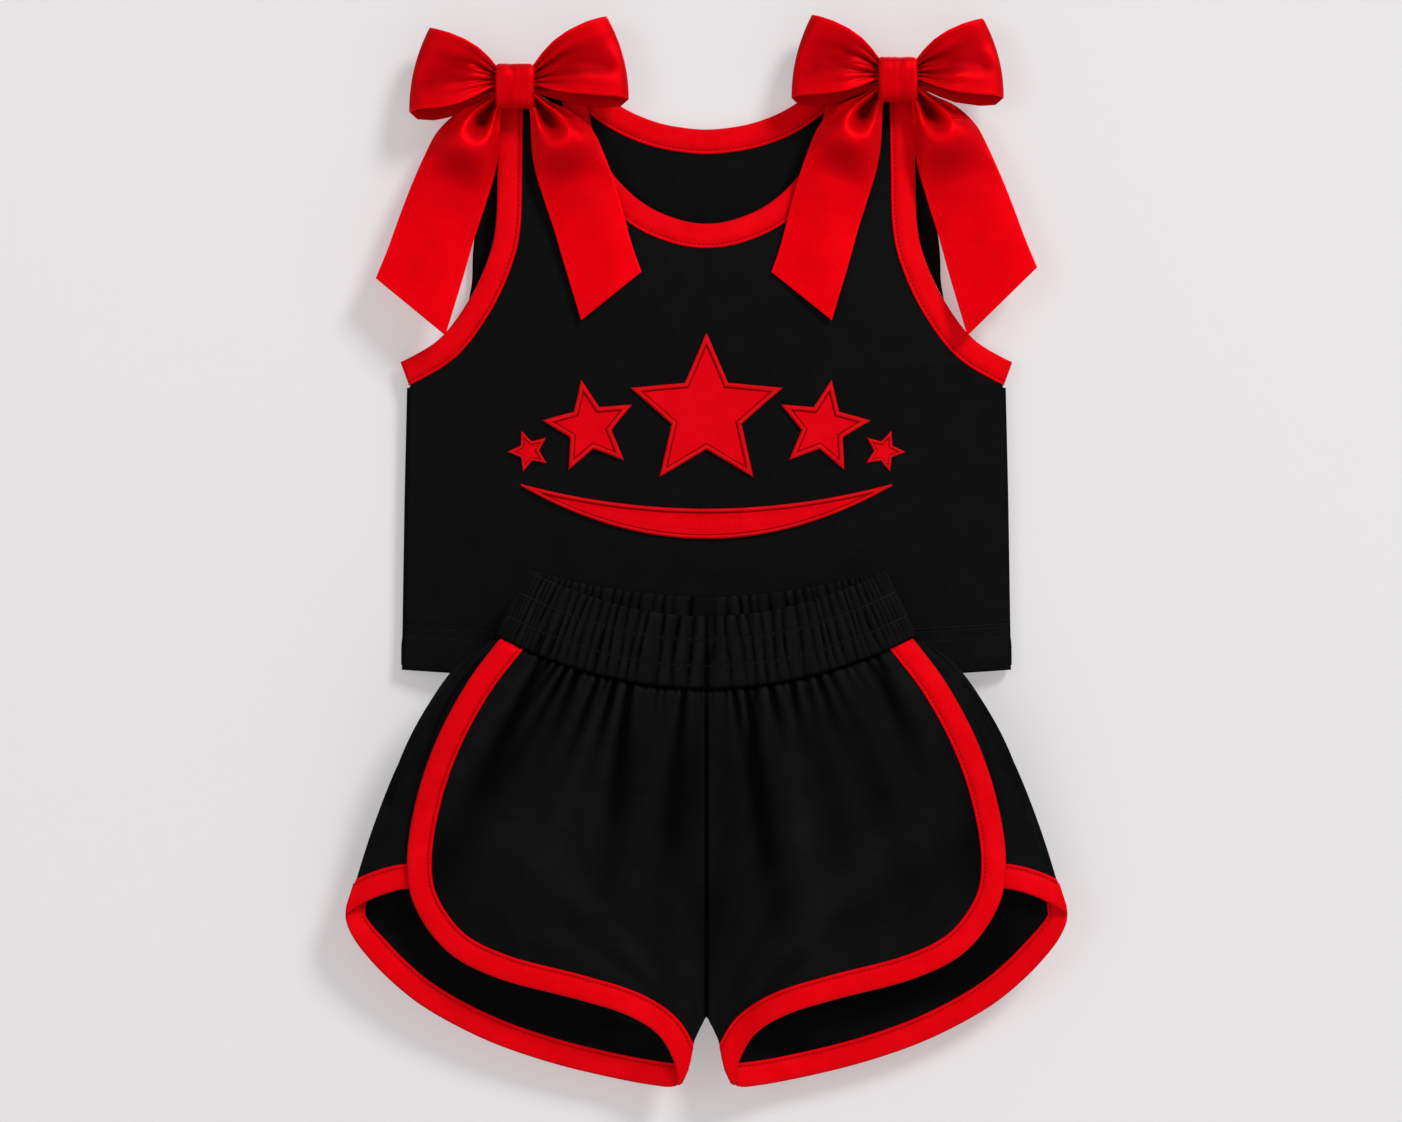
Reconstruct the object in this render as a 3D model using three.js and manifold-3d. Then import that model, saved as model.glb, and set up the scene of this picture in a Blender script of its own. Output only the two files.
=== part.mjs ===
// Youth two-piece cheer uniform: a cropped sleeveless top with a satin bow on each shoulder, and dolphin-hem
// shorts with an elastic waistband, hung one in front of the other.
// Millimetres. +X is the viewer's right, -Y is the front, +Z is up. The origin is the middle of the shoulder line,
// on the plane that the back of the top lies on. Pieces named right_ sit at +X, and left_ ones are their mirror image.
import * as THREE from "three";
import { mergeVertices } from "three/addons/utils/BufferGeometryUtils.js";
import Module from "manifold-3d";

const wasm = await Module();
wasm.setup();

// ---------- driving dimensions ----------
const CLEARANCE = 0.3; // between pieces that are sewn to each other
const CLOTH = 1.0; // double-knit body fabric
const BINDING_WIDTH = 15.6;
const BINDING_LEG = 0.7; // one leg of the folded binding
const BINDING_FOLD = 1.0; // fabric left at the fold, outside the cloth's raw edge
const BINDING_THICK = CLOTH + 2 * (CLEARANCE + BINDING_LEG);
const LAYER_STEP = BINDING_THICK + CLEARANCE; // centre to centre of two bound layers that touch
const BACK_DEPTH = BINDING_THICK / 2; // centre of the top's back panel in front of the rear plane

const TOP = {
  halfWidth: 191, // at the hem
  puff: 17, // most room between the front and back panels, beyond touching
  puffPower: 2.6,
  shoulderFade: 150, // below the shoulder, where the puff is full
  hemDrop: 370.5, // centre of the hem below the shoulder line
  hemRise: 6.5, // the hem's sides over its centre
  hemBand: 24,
  hemBandThick: 2.2,
};

const SHORTS = {
  waistHalf: 131.5, // at the bottom of the waistband
  waistTopHalf: 112,
  legHalf: 224.3,
  waistDepth: 41, // centre of the waist in front of the rear plane
  legDepth: 26,
  room: 12.5, // half of the room between front and back
  roomPower: 2.4,
  crotchDrop: 581,
  frontTop: 331, // waistband edges below the shoulder line, at the centre
  frontBottom: 374.6,
  backTop: 319,
  backBottom: 362.6,
  sideTop: 302, // the same at the sides
  sideBottom: 342,
};
const BAND = { shell: 0.8, elastic: 1.2, elasticHeight: 0.8 };
BAND.thick = 2 * BAND.shell + BAND.elastic + 2 * CLEARANCE;

const BOW = {
  x: 119.5,
  z: 2.5,
  knotWidth: 23,
  knotHeight: 26,
  knotDepth: 20,
  knotWall: 1.2,
  knotLift: 1, // knot's centre over the bow's centre
  back: 7.3, // rear of the knot in front of the rear plane
  ribbon: 0.8,
  loopRoom: 11.5,
  loopDepth: 19.6,
  tailSlope: 0.085, // how far the tails lean forward as they hang down
  tailDepth: 10.5,
  hingeX: 28,
  hingeDrop: 33,
  hingeTilt: THREE.MathUtils.degToRad(19),
};

const BLACK_KNIT = new THREE.MeshStandardMaterial({ color: 0x0b0b0c, roughness: 0.9, metalness: 0 });
const RED_BINDING = new THREE.MeshStandardMaterial({ color: 0xd40a12, roughness: 0.7, metalness: 0 });
const RED_SATIN = new THREE.MeshStandardMaterial({ color: 0xc8060e, roughness: 0.35, metalness: 0 });
const RED_TWILL = new THREE.MeshStandardMaterial({ color: 0xcf0810, roughness: 0.75, metalness: 0 });
const WHITE_ELASTIC = new THREE.MeshStandardMaterial({ color: 0xe8e8e4, roughness: 0.8, metalness: 0 });
const RED_THREAD = new THREE.MeshStandardMaterial({ color: 0xb8060c, roughness: 0.6, metalness: 0 });

// ---------- solids ----------
function solidOf(geometry) {
  const bare = geometry.clone();
  bare.deleteAttribute("normal");
  bare.deleteAttribute("uv");
  const merged = mergeVertices(bare, 1e-3);
  const vertProperties = new Float32Array(merged.attributes.position.array);
  const triVerts = new Uint32Array(merged.index.array);
  return new wasm.Manifold(new wasm.Mesh({ numProp: 3, vertProperties, triVerts }));
}

function meshOf(name, solid, material) {
  const { numProp, numVert, vertProperties, triVerts } = solid.getMesh();
  const position = new Float32Array(numVert * 3);
  for (let i = 0; i < numVert; i++) {
    position.set(vertProperties.subarray(i * numProp, i * numProp + 3), i * 3);
  }
  const geometry = new THREE.BufferGeometry();
  geometry.setAttribute("position", new THREE.BufferAttribute(position, 3));
  geometry.setIndex(new THREE.BufferAttribute(new Uint32Array(triVerts), 1));
  geometry.computeVertexNormals();
  const mesh = new THREE.Mesh(geometry, material);
  mesh.name = name;
  return mesh;
}

function block(xLow, xHigh, yLow, yHigh, zLow, zHigh) {
  const box = new THREE.BoxGeometry(xHigh - xLow, yHigh - yLow, zHigh - zLow);
  box.translate((xLow + xHigh) / 2, (yLow + yHigh) / 2, (zLow + zHigh) / 2);
  return solidOf(box);
}

// Moves every vertex of a geometry by a function of its place.
function warped(geometry, move) {
  const at = geometry.attributes.position;
  const point = new THREE.Vector3();
  for (let i = 0; i < at.count; i++) {
    point.fromBufferAttribute(at, i);
    move(point);
    at.setXYZ(i, point.x, point.y, point.z);
  }
  return geometry;
}

// A sheet of cloth that follows a depth function, over a grid of columns and rows.
function sheet({ x: [xLow, xHigh], z: [zLow, zHigh], columns, rows }, depthAt, thickness) {
  const box = new THREE.BoxGeometry(xHigh - xLow, thickness, zHigh - zLow, columns, 1, rows);
  box.translate((xLow + xHigh) / 2, 0, (zLow + zHigh) / 2);
  return solidOf(
    warped(box, (p) => {
      p.y -= depthAt(p.x, p.z);
    }),
  );
}

// An outline in X and Z, run through the whole depth.
function prism(points) {
  const reach = 90;
  const same = (a, b) => Math.hypot(a[0] - b[0], a[1] - b[1]) < 0.01;
  const corners = points.filter((p, i) => !same(p, points[(i + 1) % points.length]));
  const shape = new THREE.Shape(corners.map(([x, z]) => new THREE.Vector2(x, z)));
  const cut = new THREE.ExtrudeGeometry(shape, { depth: 2 * reach, bevelEnabled: false });
  cut.rotateX(Math.PI / 2);
  cut.translate(0, reach, 0);
  return solidOf(cut);
}

// ---------- outlines ----------
function curve(points, pieces) {
  const spline = new THREE.SplineCurve(points.map(([x, z]) => new THREE.Vector2(x, z)));
  return spline.getPoints(pieces).map((p) => [p.x, p.y]);
}

// The same line moved sideways, to the right of its direction when distance is positive.
function beside(line, distance) {
  return line.map(([x, z], i) => {
    const [ax, az] = line[Math.max(i - 1, 0)];
    const [bx, bz] = line[Math.min(i + 1, line.length - 1)];
    const long = Math.hypot(bx - ax, bz - az);
    return [x + ((bz - az) / long) * distance, z - ((bx - ax) / long) * distance];
  });
}

const reversed = (line) => [...line].reverse();
const mirrored = (line) => line.map(([x, z]) => [-x, z]);
// A symmetric outline from its right half, listed from the centre at the top to the centre at the bottom.
const bothSides = (half) => [...half, ...reversed(mirrored(half))];
const parabola = (centre, side, half) => (x) => centre + (side - centre) * (x / half) ** 2;
const alongX = (from, to, pieces, zAt) =>
  Array.from({ length: pieces + 1 }, (_, i) => {
    const x = from + ((to - from) * i) / pieces;
    return [x, zAt(x)];
  });

// A folded strip of binding over the edge of a sheet: edge is its outer line, with the cloth on the right-hand side.
function binding(edge, grid, depthAt) {
  const band = (inset, width) => prism([...beside(edge, inset), ...reversed(beside(edge, width))]);
  const outside = sheet(grid, depthAt, BINDING_THICK).intersect(band(0, BINDING_WIDTH));
  const slot = sheet(grid, depthAt, CLOTH + 2 * CLEARANCE);
  return outside.subtract(slot.intersect(band(BINDING_FOLD, BINDING_WIDTH + 2)));
}
const RAW_EDGE = BINDING_FOLD + CLEARANCE; // how far the cloth's own edge is inside the binding's

// ---------- the top ----------
const TOP_GRID = { x: [-204, 204], z: [-396, 24], columns: 12, rows: 7 };
const FLAT_GRID = { ...TOP_GRID, columns: 1, rows: 1 };
const shoulderZ = (x) => 3 - (6 * (x - 76)) / 55;
const topHem = parabola(-TOP.hemDrop, -TOP.hemDrop + TOP.hemRise, TOP.halfWidth);

function topFrontDepth(x, z) {
  const across = 1 - Math.min(1, Math.abs(x) / TOP.halfWidth) ** TOP.puffPower;
  return BACK_DEPTH + LAYER_STEP + TOP.puff * across * THREE.MathUtils.smoothstep(-z, 0, TOP.shoulderFade);
}
const topBackDepth = () => BACK_DEPTH;

const FRONT_NECK = curve([[0, -84.5], [20, -81], [41, -70.5], [60, -51], [71, -26], [76, 0], [77.5, 16]], 14);
const BACK_NECK = curve([[0, -27], [20, -25], [36, -21], [51, -14.2], [65, -4.5], [80, 10]], 10);
const ARMHOLE = curve([[130, 16], [131, -50], [132, -85], [137, -107], [149, -132.5], [168, -157], [196, -173]], 14);
const BACK_ARMHOLE = curve([[131, -3], [137, -40], [146, -95], [148, -125], [157, -149], [190, -172]], 10);
const SIDE_SEAM = [[187, -187], [188.5, -257], [190, -335]];

// A panel of the top, from its neck and armhole lines, which are cut off at the shoulder.
function topPanel(neck, armhole, grid, depthAt) {
  const hem = alongX(SIDE_SEAM[2][0], 0, 6, (x) => topHem(x) + TOP.hemBand + CLEARANCE);
  const half = [...neck, ...armhole, ...SIDE_SEAM, ...hem];
  const [shoulderIn, shoulderOut] = [77, 131].map((x) => [x, shoulderZ(x)]);
  const below = bothSides([[0, shoulderIn[1]], shoulderIn, shoulderOut, [192, -100], [192, -400], [0, -400]]);
  return sheet(grid, depthAt, CLOTH).intersect(prism(bothSides(half))).intersect(prism(below));
}

// The turned hem band, sewn to the bottom edge of a panel.
function hemBand(grid, depthAt) {
  const side = TOP.halfWidth + 0.8;
  const upper = alongX(0, side, 6, (x) => topHem(x) + TOP.hemBand);
  const lower = alongX(side, 0, 6, topHem);
  return sheet(grid, depthAt, TOP.hemBandThick).intersect(prism(bothSides([...upper, ...lower])));
}

function neckBinding(half, grid, depthAt) {
  const edge = [...reversed(mirrored(half)), ...half.slice(1)];
  const shoulder = block(-77 - BINDING_WIDTH, 77 + BINDING_WIDTH, -90, 90, -400, shoulderZ(77) - 1);
  return binding(edge, grid, depthAt).intersect(shoulder);
}

function armholeBinding() {
  const room = block(60, TOP.halfWidth + 1, -90, 90, -400, shoulderZ(131));
  return binding(ARMHOLE, TOP_GRID, topFrontDepth).intersect(room);
}

// ---------- the chest emblem ----------
const EMBLEM_DEPTH = (CLOTH + 1.0) / 2 + CLEARANCE;
const EMBLEM_STARS = [
  { name: "emblem_star_centre", x: 0, z: -203, radius: 50, turn: 0 },
  { name: "emblem_star_inner", x: 73, z: -212, radius: 30, turn: -10 },
  { name: "emblem_star_outer", x: 111, z: -227, radius: 13.5, turn: -20 },
];

function starOutline({ x, z, radius, turn }) {
  const waist = 0.46;
  return Array.from({ length: 10 }, (_, i) => {
    const angle = Math.PI / 2 + (i * Math.PI) / 5 + THREE.MathUtils.degToRad(turn);
    const out = radius * (i % 2 ? waist : 1);
    return [x + out * Math.cos(angle), z + out * Math.sin(angle)];
  });
}

// The sash under the stars: thick in the middle and pointed at both ends.
function sashOutline() {
  const upper = parabola(-263, -247, 116);
  const lower = parabola(-282, -247, 116);
  return [...alongX(-116, 116, 16, upper), ...alongX(116, -116, 16, lower).slice(1, -1)];
}

const emblemPiece = (outline) =>
  sheet(TOP_GRID, (x, z) => topFrontDepth(x, z) + EMBLEM_DEPTH, 1.0).intersect(prism(outline));

// ---------- the bows, each in a frame with its origin at the bow's centre ----------
// Half of a loop's depth, from 0 at the knot to 1 at its outer fold: narrow inside the knot, and closed at both ends.
function loopHalfDepth(out) {
  const pinch = THREE.MathUtils.lerp(0.3, 1, THREE.MathUtils.smoothstep(out, 0.12, 0.5));
  return BOW.loopRoom * pinch * Math.sqrt(1 - Math.abs(2 * out - 1) ** 2.4);
}

// The loop in plan, or the space inside it, between two shares of its length.
function loopPlan(low, high, inset) {
  const steps = 14;
  return Array.from({ length: 2 * steps }, (_, i) => {
    const out = THREE.MathUtils.lerp(low, high, (1 + Math.cos((Math.PI * i) / steps)) / 2);
    const depth = i % steps ? loopHalfDepth(out) - inset : 0;
    return new THREE.Vector2(out, i < steps ? depth : -depth);
  });
}

// One loop of ribbon. end is the outer fold: [x, z] at its top and bottom; knot is the span that the knot holds.
function ribbonLoop(end, knot) {
  const shape = new THREE.Shape(loopPlan(0, 1, 0));
  shape.holes.push(new THREE.Path(loopPlan(0.03, 0.985, BOW.ribbon)));
  const ring = new THREE.ExtrudeGeometry(shape, { depth: 1, steps: 1, bevelEnabled: false });
  const [[topX, topZ], [lowX, lowZ]] = end;
  return solidOf(
    warped(ring, (p) => {
      const out = p.x;
      const up = p.z;
      const top = THREE.MathUtils.lerp(knot.top, topZ, out);
      const low = THREE.MathUtils.lerp(knot.low, lowZ, out ** 0.9);
      p.x = THREE.MathUtils.lerp(knot.x, THREE.MathUtils.lerp(lowX, topX, up), out);
      p.z = THREE.MathUtils.lerp(low, top, up);
      p.y -= BOW.loopDepth;
    }),
  );
}

function knot() {
  const { knotWidth, knotHeight, knotDepth, knotWall, knotLift, back } = BOW;
  const middle = -(back + knotDepth / 2);
  const frameOf = (grow) => {
    const shape = new THREE.Shape();
    const [w, h, r] = [knotDepth / 2 + grow, knotHeight / 2 + grow, 5 + grow];
    shape.moveTo(-w + r, -h).lineTo(w - r, -h).absarc(w - r, -h + r, r, -Math.PI / 2, 0, false);
    shape.lineTo(w, h - r).absarc(w - r, h - r, r, 0, Math.PI / 2, false);
    shape.lineTo(-w + r, h).absarc(-w + r, h - r, r, Math.PI / 2, Math.PI, false);
    shape.lineTo(-w, -h + r).absarc(-w + r, -h + r, r, Math.PI, 1.5 * Math.PI, false);
    return shape;
  };
  const shape = frameOf(0);
  shape.holes.push(frameOf(-knotWall));
  const ring = new THREE.ExtrudeGeometry(shape, { depth: knotWidth, curveSegments: 5, bevelEnabled: false });
  ring.rotateX(Math.PI / 2).rotateZ(Math.PI / 2);
  ring.translate(-knotWidth / 2, middle, knotLift);
  return solidOf(ring);
}

const tailDepth = (z) => BOW.tailDepth + BOW.tailSlope * Math.abs(z);
const TAIL_GRID = { x: [-96, 96], z: [-168, 0], columns: 1, rows: 1 };
const tailSheet = () => sheet(TAIL_GRID, (x, z) => tailDepth(z), BOW.ribbon);
const OUTER_TAIL = [
  ...curve([[43.9, -28.2], [48.5, -33], [59, -52.3], [69.7, -79.6], [87, -118.5]], 10),
  [45.5, -159],
  ...curve([[33.3, -116], [24.2, -91.7], [16.7, -66], [10.8, -44], [10.4, -39.8]], 8),
];
const INNER_TAIL = [
  ...curve([[44.8, -27.8], [48.4, -34], [59, -52.3], [67, -77], [80, -115.5]], 10),
  [43.5, -147],
  ...curve([[31.8, -105], [21.2, -75], [14, -52], [11.4, -44], [10.9, -39.6]], 8),
];
// The pinched middle of the tail ribbon: a bar through the knot, with a wing to each tail's fold.
const GATHER_HALF = [
  [0, -3.5], [12.2, -4.8], [22, -9.8], [33.3, -17.9], [43.1, -27],
  [10.3, -38.6], [10.6, -25], [12.2, -14.5], [12.2, -10.5], [0, -10.5],
];

function tailGather() {
  const depthAt = (x, z) => THREE.MathUtils.mapLinear(Math.max(z, -34), -34, 0, tailDepth(-34), 15.4);
  const grid = { x: [-48, 48], z: [-34, 0], columns: 1, rows: 1 };
  const folds = { x: [-48, 48], z: [-50, -34], columns: 1, rows: 1 };
  const cloth = sheet(grid, depthAt, BOW.ribbon).add(sheet(folds, depthAt, BOW.ribbon));
  return cloth.intersect(prism(bothSides(GATHER_HALF)));
}

// The bar of thread that holds the knot to the shoulder strap.
const tack = () => block(-10.5, -4.5, -(BOW.back - CLEARANCE), -5.7, -3, 1);

function bow(side) {
  const group = new THREE.Group();
  const held = { x: 0.4, top: 5, low: 0.5 };
  const outer = ribbonLoop([[52, 39], [66, -16]], held);
  const inner = ribbonLoop([[53.5, 42], [68.5, -11]], held);
  const pieces = [
    [`${side}_bow_outer_loop`, outer, RED_SATIN, 1],
    [`${side}_bow_inner_loop`, inner, RED_SATIN, -1],
    [`${side}_bow_knot`, knot(), RED_SATIN, 1],
    [`${side}_bow_tail_gather`, tailGather(), RED_SATIN, 1],
    [`${side}_bow_outer_tail`, tailSheet().intersect(prism(OUTER_TAIL)), RED_SATIN, 1],
    [`${side}_bow_inner_tail`, tailSheet().intersect(prism(INNER_TAIL)), RED_SATIN, -1],
    [`${side}_bow_tack_stitch`, tack(), RED_THREAD, 1],
  ];
  for (const [name, solid, material, way] of pieces) {
    const mesh = meshOf(name, solid, material);
    mesh.scale.x = way;
    group.add(mesh);
  }
  group.position.set(BOW.x, 0, BOW.z);
  return group;
}

// ---------- the shorts ----------
const SHORTS_GRID = { x: [-240, 240], z: [-640, -300], columns: 20, rows: 10 };

function shortsHalfWidth(z) {
  const down = THREE.MathUtils.clamp((-z - SHORTS.sideBottom) / 173, 0, 1);
  return SHORTS.waistHalf + (SHORTS.legHalf - SHORTS.waistHalf) * down ** 0.69;
}
// Half of the distance between the front and back layers.
function shortsRoom(x, z) {
  const across = Math.min(1, Math.abs(x) / shortsHalfWidth(z));
  const leg = THREE.MathUtils.smoothstep(-z, 490, SHORTS.crotchDrop - 6);
  const inner = THREE.MathUtils.lerp(1, THREE.MathUtils.smoothstep(Math.abs(x), 4, 60), leg);
  return Math.max(LAYER_STEP / 2, SHORTS.room * inner * Math.sqrt(1 - across ** SHORTS.roomPower));
}
const shortsCentre = (z) =>
  THREE.MathUtils.lerp(SHORTS.waistDepth, SHORTS.legDepth, THREE.MathUtils.smoothstep(-z, 376, 470));
const shortsFrontDepth = (x, z) => shortsCentre(z) + shortsRoom(x, z);
const shortsBackDepth = (x, z) => shortsCentre(z) - shortsRoom(x, z);
const shortsSideDepth = (x, z) => shortsFrontDepth(x, z) - LAYER_STEP;

const bandFrontTop = parabola(-SHORTS.frontTop, -SHORTS.sideTop, SHORTS.waistTopHalf);
const bandFrontBottom = parabola(-SHORTS.frontBottom, -SHORTS.sideBottom, SHORTS.waistHalf);
const bandBackTop = parabola(-SHORTS.backTop, -SHORTS.sideTop, SHORTS.waistTopHalf);
const bandBackBottom = parabola(-SHORTS.backBottom, -SHORTS.sideBottom, SHORTS.waistHalf);

const FRONT_EDGE = curve(
  [[127, -344], [148, -370], [168, -407], [181, -445], [186.6, -482], [181.6, -511], [161, -539],
    [129, -555.6], [82, -568], [51, -577.5], [30, -590], [13, -615]], 24);
const BACK_HEM = curve(
  [[224.3, -514.5], [215, -539], [198, -557.5], [174.7, -576], [139, -595], [100, -609], [60, -619],
    [32, -623.6], [4, -625.5]], 20);
const SIDE_LINE = curve([[131.5, -343], [155.3, -367.5], [173.4, -394.7], [191, -426], [207, -463.8], [219, -497]], 12);
const SIDE_HEM = curve([[150, -497], [184, -499.8], [205, -503.5], [224.3, -513]], 6);
const INSEAM = [[17.5, -623], [9.5, -602], [1.2, -SHORTS.crotchDrop]];
const SEAM_GAP = CLEARANCE / 2;
// The space between the two legs, below the crotch.
const legGap = () => [...reversed(INSEAM), [19, -640], [-5, -640], [-5, -SHORTS.crotchDrop]];

// A front panel, from the centre seam to the bound edge that curves down the side and along the hem.
function shortsFrontPanel() {
  const waist = alongX(SEAM_GAP, 126, 8, (x) => bandFrontBottom(x) - CLEARANCE);
  const outline = [...waist, ...beside(FRONT_EDGE, RAW_EDGE), [SEAM_GAP, -612]];
  return sheet(SHORTS_GRID, shortsFrontDepth, CLOTH).intersect(prism(outline)).subtract(prism(legGap()));
}

// A back panel, which wraps round the side and ends under the front panel.
function shortsBackPanel() {
  const waist = alongX(SEAM_GAP, 131.5, 8, (x) => bandBackBottom(x) - CLEARANCE);
  const back = [...waist, ...SIDE_LINE, ...beside(BACK_HEM, RAW_EDGE), [SEAM_GAP, -624]];
  const wrap = [
    [114, bandFrontBottom(114) - CLEARANCE - 1.5], ...SIDE_LINE, ...reversed(beside(SIDE_HEM, -RAW_EDGE)), [160, -440], [140, -395],
  ];
  const behind = sheet(SHORTS_GRID, shortsBackDepth, CLOTH).intersect(prism(back));
  const around = sheet(SHORTS_GRID, shortsSideDepth, CLOTH).intersect(prism(wrap));
  return behind.add(around).subtract(hemCorner(CLEARANCE)).subtract(prism(legGap()));
}

function frontLegBinding() {
  const below = block(0, 300, -90, 90, -700, -SHORTS.sideBottom - 4);
  return binding(FRONT_EDGE, SHORTS_GRID, shortsFrontDepth).intersect(below).subtract(prism(legGap()));
}

// Where the back hem's binding folds round the side, it has no cloth inside.
const hemCorner = (grow) => block(213 - grow, 240, -90, 90, -516 - grow, -499 + grow);

function backLegBinding() {
  const behind = binding(BACK_HEM, SHORTS_GRID, shortsBackDepth);
  const around = binding(reversed(SIDE_HEM), SHORTS_GRID, shortsSideDepth);
  const solid = [shortsBackDepth, shortsSideDepth].map((depthAt) =>
    sheet(SHORTS_GRID, depthAt, BINDING_THICK).intersect(hemCorner(0)),
  );
  const beforeCorner = block(0, 213.4, -90, 90, -700, 0);
  const withinLeg = block(0, SHORTS.legHalf, -90, 90, -700, 0).subtract(prism(legGap()));
  return around.intersect(beforeCorner).add(behind).add(solid[0]).add(solid[1]).intersect(withinLeg);
}

// A ring of the waistband. low and high are shares of its height, inset is from its outside, and wall its thickness.
function bandRing(low, high, inset, wall) {
  const outline = (grow) =>
    Array.from({ length: 48 }, (_, i) => {
      const angle = (2 * Math.PI * i) / 48;
      const [c, s] = [Math.cos(angle), Math.sin(angle)];
      const x = (SHORTS.waistHalf + grow) * Math.sign(c) * Math.abs(c) ** 0.85;
      return new THREE.Vector2(x, (SHORTS.room + grow) * Math.sign(s) * Math.abs(s) ** 0.85);
    });
  const outside = BAND.thick / 2 - inset;
  const narrowing = SHORTS.waistTopHalf / SHORTS.waistHalf;
  const shape = new THREE.Shape(outline(outside));
  shape.holes.push(new THREE.Path(outline(outside - wall)));
  const ring = new THREE.ExtrudeGeometry(shape, { depth: high - low, steps: 1, bevelEnabled: false });
  return solidOf(
    warped(ring, (p) => {
      const up = p.z + low;
      const [bottom, top] = p.y < 0 ? [bandFrontBottom, bandFrontTop] : [bandBackBottom, bandBackTop];
      p.z = THREE.MathUtils.lerp(bottom(p.x), top(p.x * narrowing), up);
      p.x *= THREE.MathUtils.lerp(1, narrowing, up);
      p.y -= SHORTS.waistDepth;
    }),
  );
}

// Half of the casing: cloth folded over the elastic, open at its lower edge where the panels are sewn in.
function waistbandCasing() {
  const whole = bandRing(0, 1, 0, BAND.thick);
  const channel = bandRing(-0.2, BAND.elasticHeight + 0.08, BAND.shell, BAND.elastic + 2 * CLEARANCE);
  return whole.subtract(channel).intersect(block(SEAM_GAP, 200, -90, 0, -400, -280));
}
const waistbandElastic = () =>
  bandRing(0.06, BAND.elasticHeight, BAND.shell + CLEARANCE, BAND.elastic);

// ---------- assembly ----------
function sidePieces(side) {
  const group = new THREE.Group();
  group.add(meshOf(`${side}_armhole_binding`, armholeBinding(), RED_BINDING));
  for (const star of EMBLEM_STARS.slice(1)) {
    group.add(meshOf(`${side}_${star.name}`, emblemPiece(starOutline(star)), RED_TWILL));
  }
  group.add(bow(side));
  group.add(meshOf(`${side}_shorts_front_panel`, shortsFrontPanel(), BLACK_KNIT));
  group.add(meshOf(`${side}_shorts_back_panel`, shortsBackPanel(), BLACK_KNIT));
  group.add(meshOf(`${side}_leg_front_binding`, frontLegBinding(), RED_BINDING));
  group.add(meshOf(`${side}_leg_back_binding`, backLegBinding(), RED_BINDING));
  group.add(meshOf(`${side}_waistband_casing`, waistbandCasing(), BLACK_KNIT));
  return group;
}

const uniform = new THREE.Group();
const frontRaw = { neck: beside(FRONT_NECK, RAW_EDGE), armhole: beside(ARMHOLE, RAW_EDGE) };
const frontPanel = topPanel(frontRaw.neck, frontRaw.armhole, TOP_GRID, topFrontDepth);
const backPanel = topPanel(beside(BACK_NECK, RAW_EDGE), BACK_ARMHOLE, FLAT_GRID, topBackDepth);
uniform.add(meshOf("top_front_panel", frontPanel, BLACK_KNIT));
uniform.add(meshOf("top_back_panel", backPanel, BLACK_KNIT));
uniform.add(meshOf("top_front_hem_band", hemBand(TOP_GRID, topFrontDepth), BLACK_KNIT));
uniform.add(meshOf("top_back_hem_band", hemBand(FLAT_GRID, topBackDepth), BLACK_KNIT));
uniform.add(meshOf("front_neck_binding", neckBinding(FRONT_NECK, TOP_GRID, topFrontDepth), RED_BINDING));
uniform.add(meshOf("back_neck_binding", neckBinding(BACK_NECK, FLAT_GRID, topBackDepth), RED_BINDING));
uniform.add(meshOf("emblem_star_centre", emblemPiece(starOutline(EMBLEM_STARS[0])), RED_TWILL));
uniform.add(meshOf("emblem_sash", emblemPiece(sashOutline()), RED_TWILL));
uniform.add(meshOf("waistband_elastic", waistbandElastic(), WHITE_ELASTIC));
uniform.add(sidePieces("right"));
const leftSide = sidePieces("left");
leftSide.scale.x = -1;
uniform.add(leftSide);

export default uniform;
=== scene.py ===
import math
import random
import bpy
import bmesh
from mathutils import Matrix, Vector, kdtree, noise


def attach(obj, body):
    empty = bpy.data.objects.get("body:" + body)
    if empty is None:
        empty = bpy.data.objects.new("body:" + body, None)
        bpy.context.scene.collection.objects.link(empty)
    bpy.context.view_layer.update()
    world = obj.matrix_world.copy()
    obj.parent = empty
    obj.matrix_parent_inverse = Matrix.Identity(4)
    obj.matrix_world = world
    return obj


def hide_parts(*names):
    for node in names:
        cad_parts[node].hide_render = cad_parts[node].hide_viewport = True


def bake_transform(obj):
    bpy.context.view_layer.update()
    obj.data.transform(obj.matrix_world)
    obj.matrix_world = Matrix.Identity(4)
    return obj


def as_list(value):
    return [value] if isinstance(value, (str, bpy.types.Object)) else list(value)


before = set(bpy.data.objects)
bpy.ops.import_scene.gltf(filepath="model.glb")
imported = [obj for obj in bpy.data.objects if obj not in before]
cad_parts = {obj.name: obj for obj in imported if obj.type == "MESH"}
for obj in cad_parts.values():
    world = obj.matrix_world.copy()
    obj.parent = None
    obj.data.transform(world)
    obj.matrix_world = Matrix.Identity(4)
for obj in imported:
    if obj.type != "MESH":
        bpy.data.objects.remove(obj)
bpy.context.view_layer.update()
print("frame loaded")

# lengths below are in millimetres unless a name says otherwise, in the frame's own axes
mm = 0.001


def clamp(value, low=0.0, high=1.0):
    return max(low, min(high, value))


def mix(a, b, t):
    return a + (b - a) * t


def ease(value, low, high):
    t = clamp((value - low) / (high - low))
    return t * t * (3 - 2 * t)


def bell(value, middle, width):
    return math.exp(-((value - middle) / width) ** 2)


# a point between the middle two of four control points
def splineAt(p, t):
    return 0.5 * (2 * p[1] + (p[2] - p[0]) * t + (2 * p[0] - 5 * p[1] + 4 * p[2] - p[3]) * t * t
                  + (3 * p[1] - p[0] - 3 * p[2] + p[3]) * t ** 3)


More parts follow.
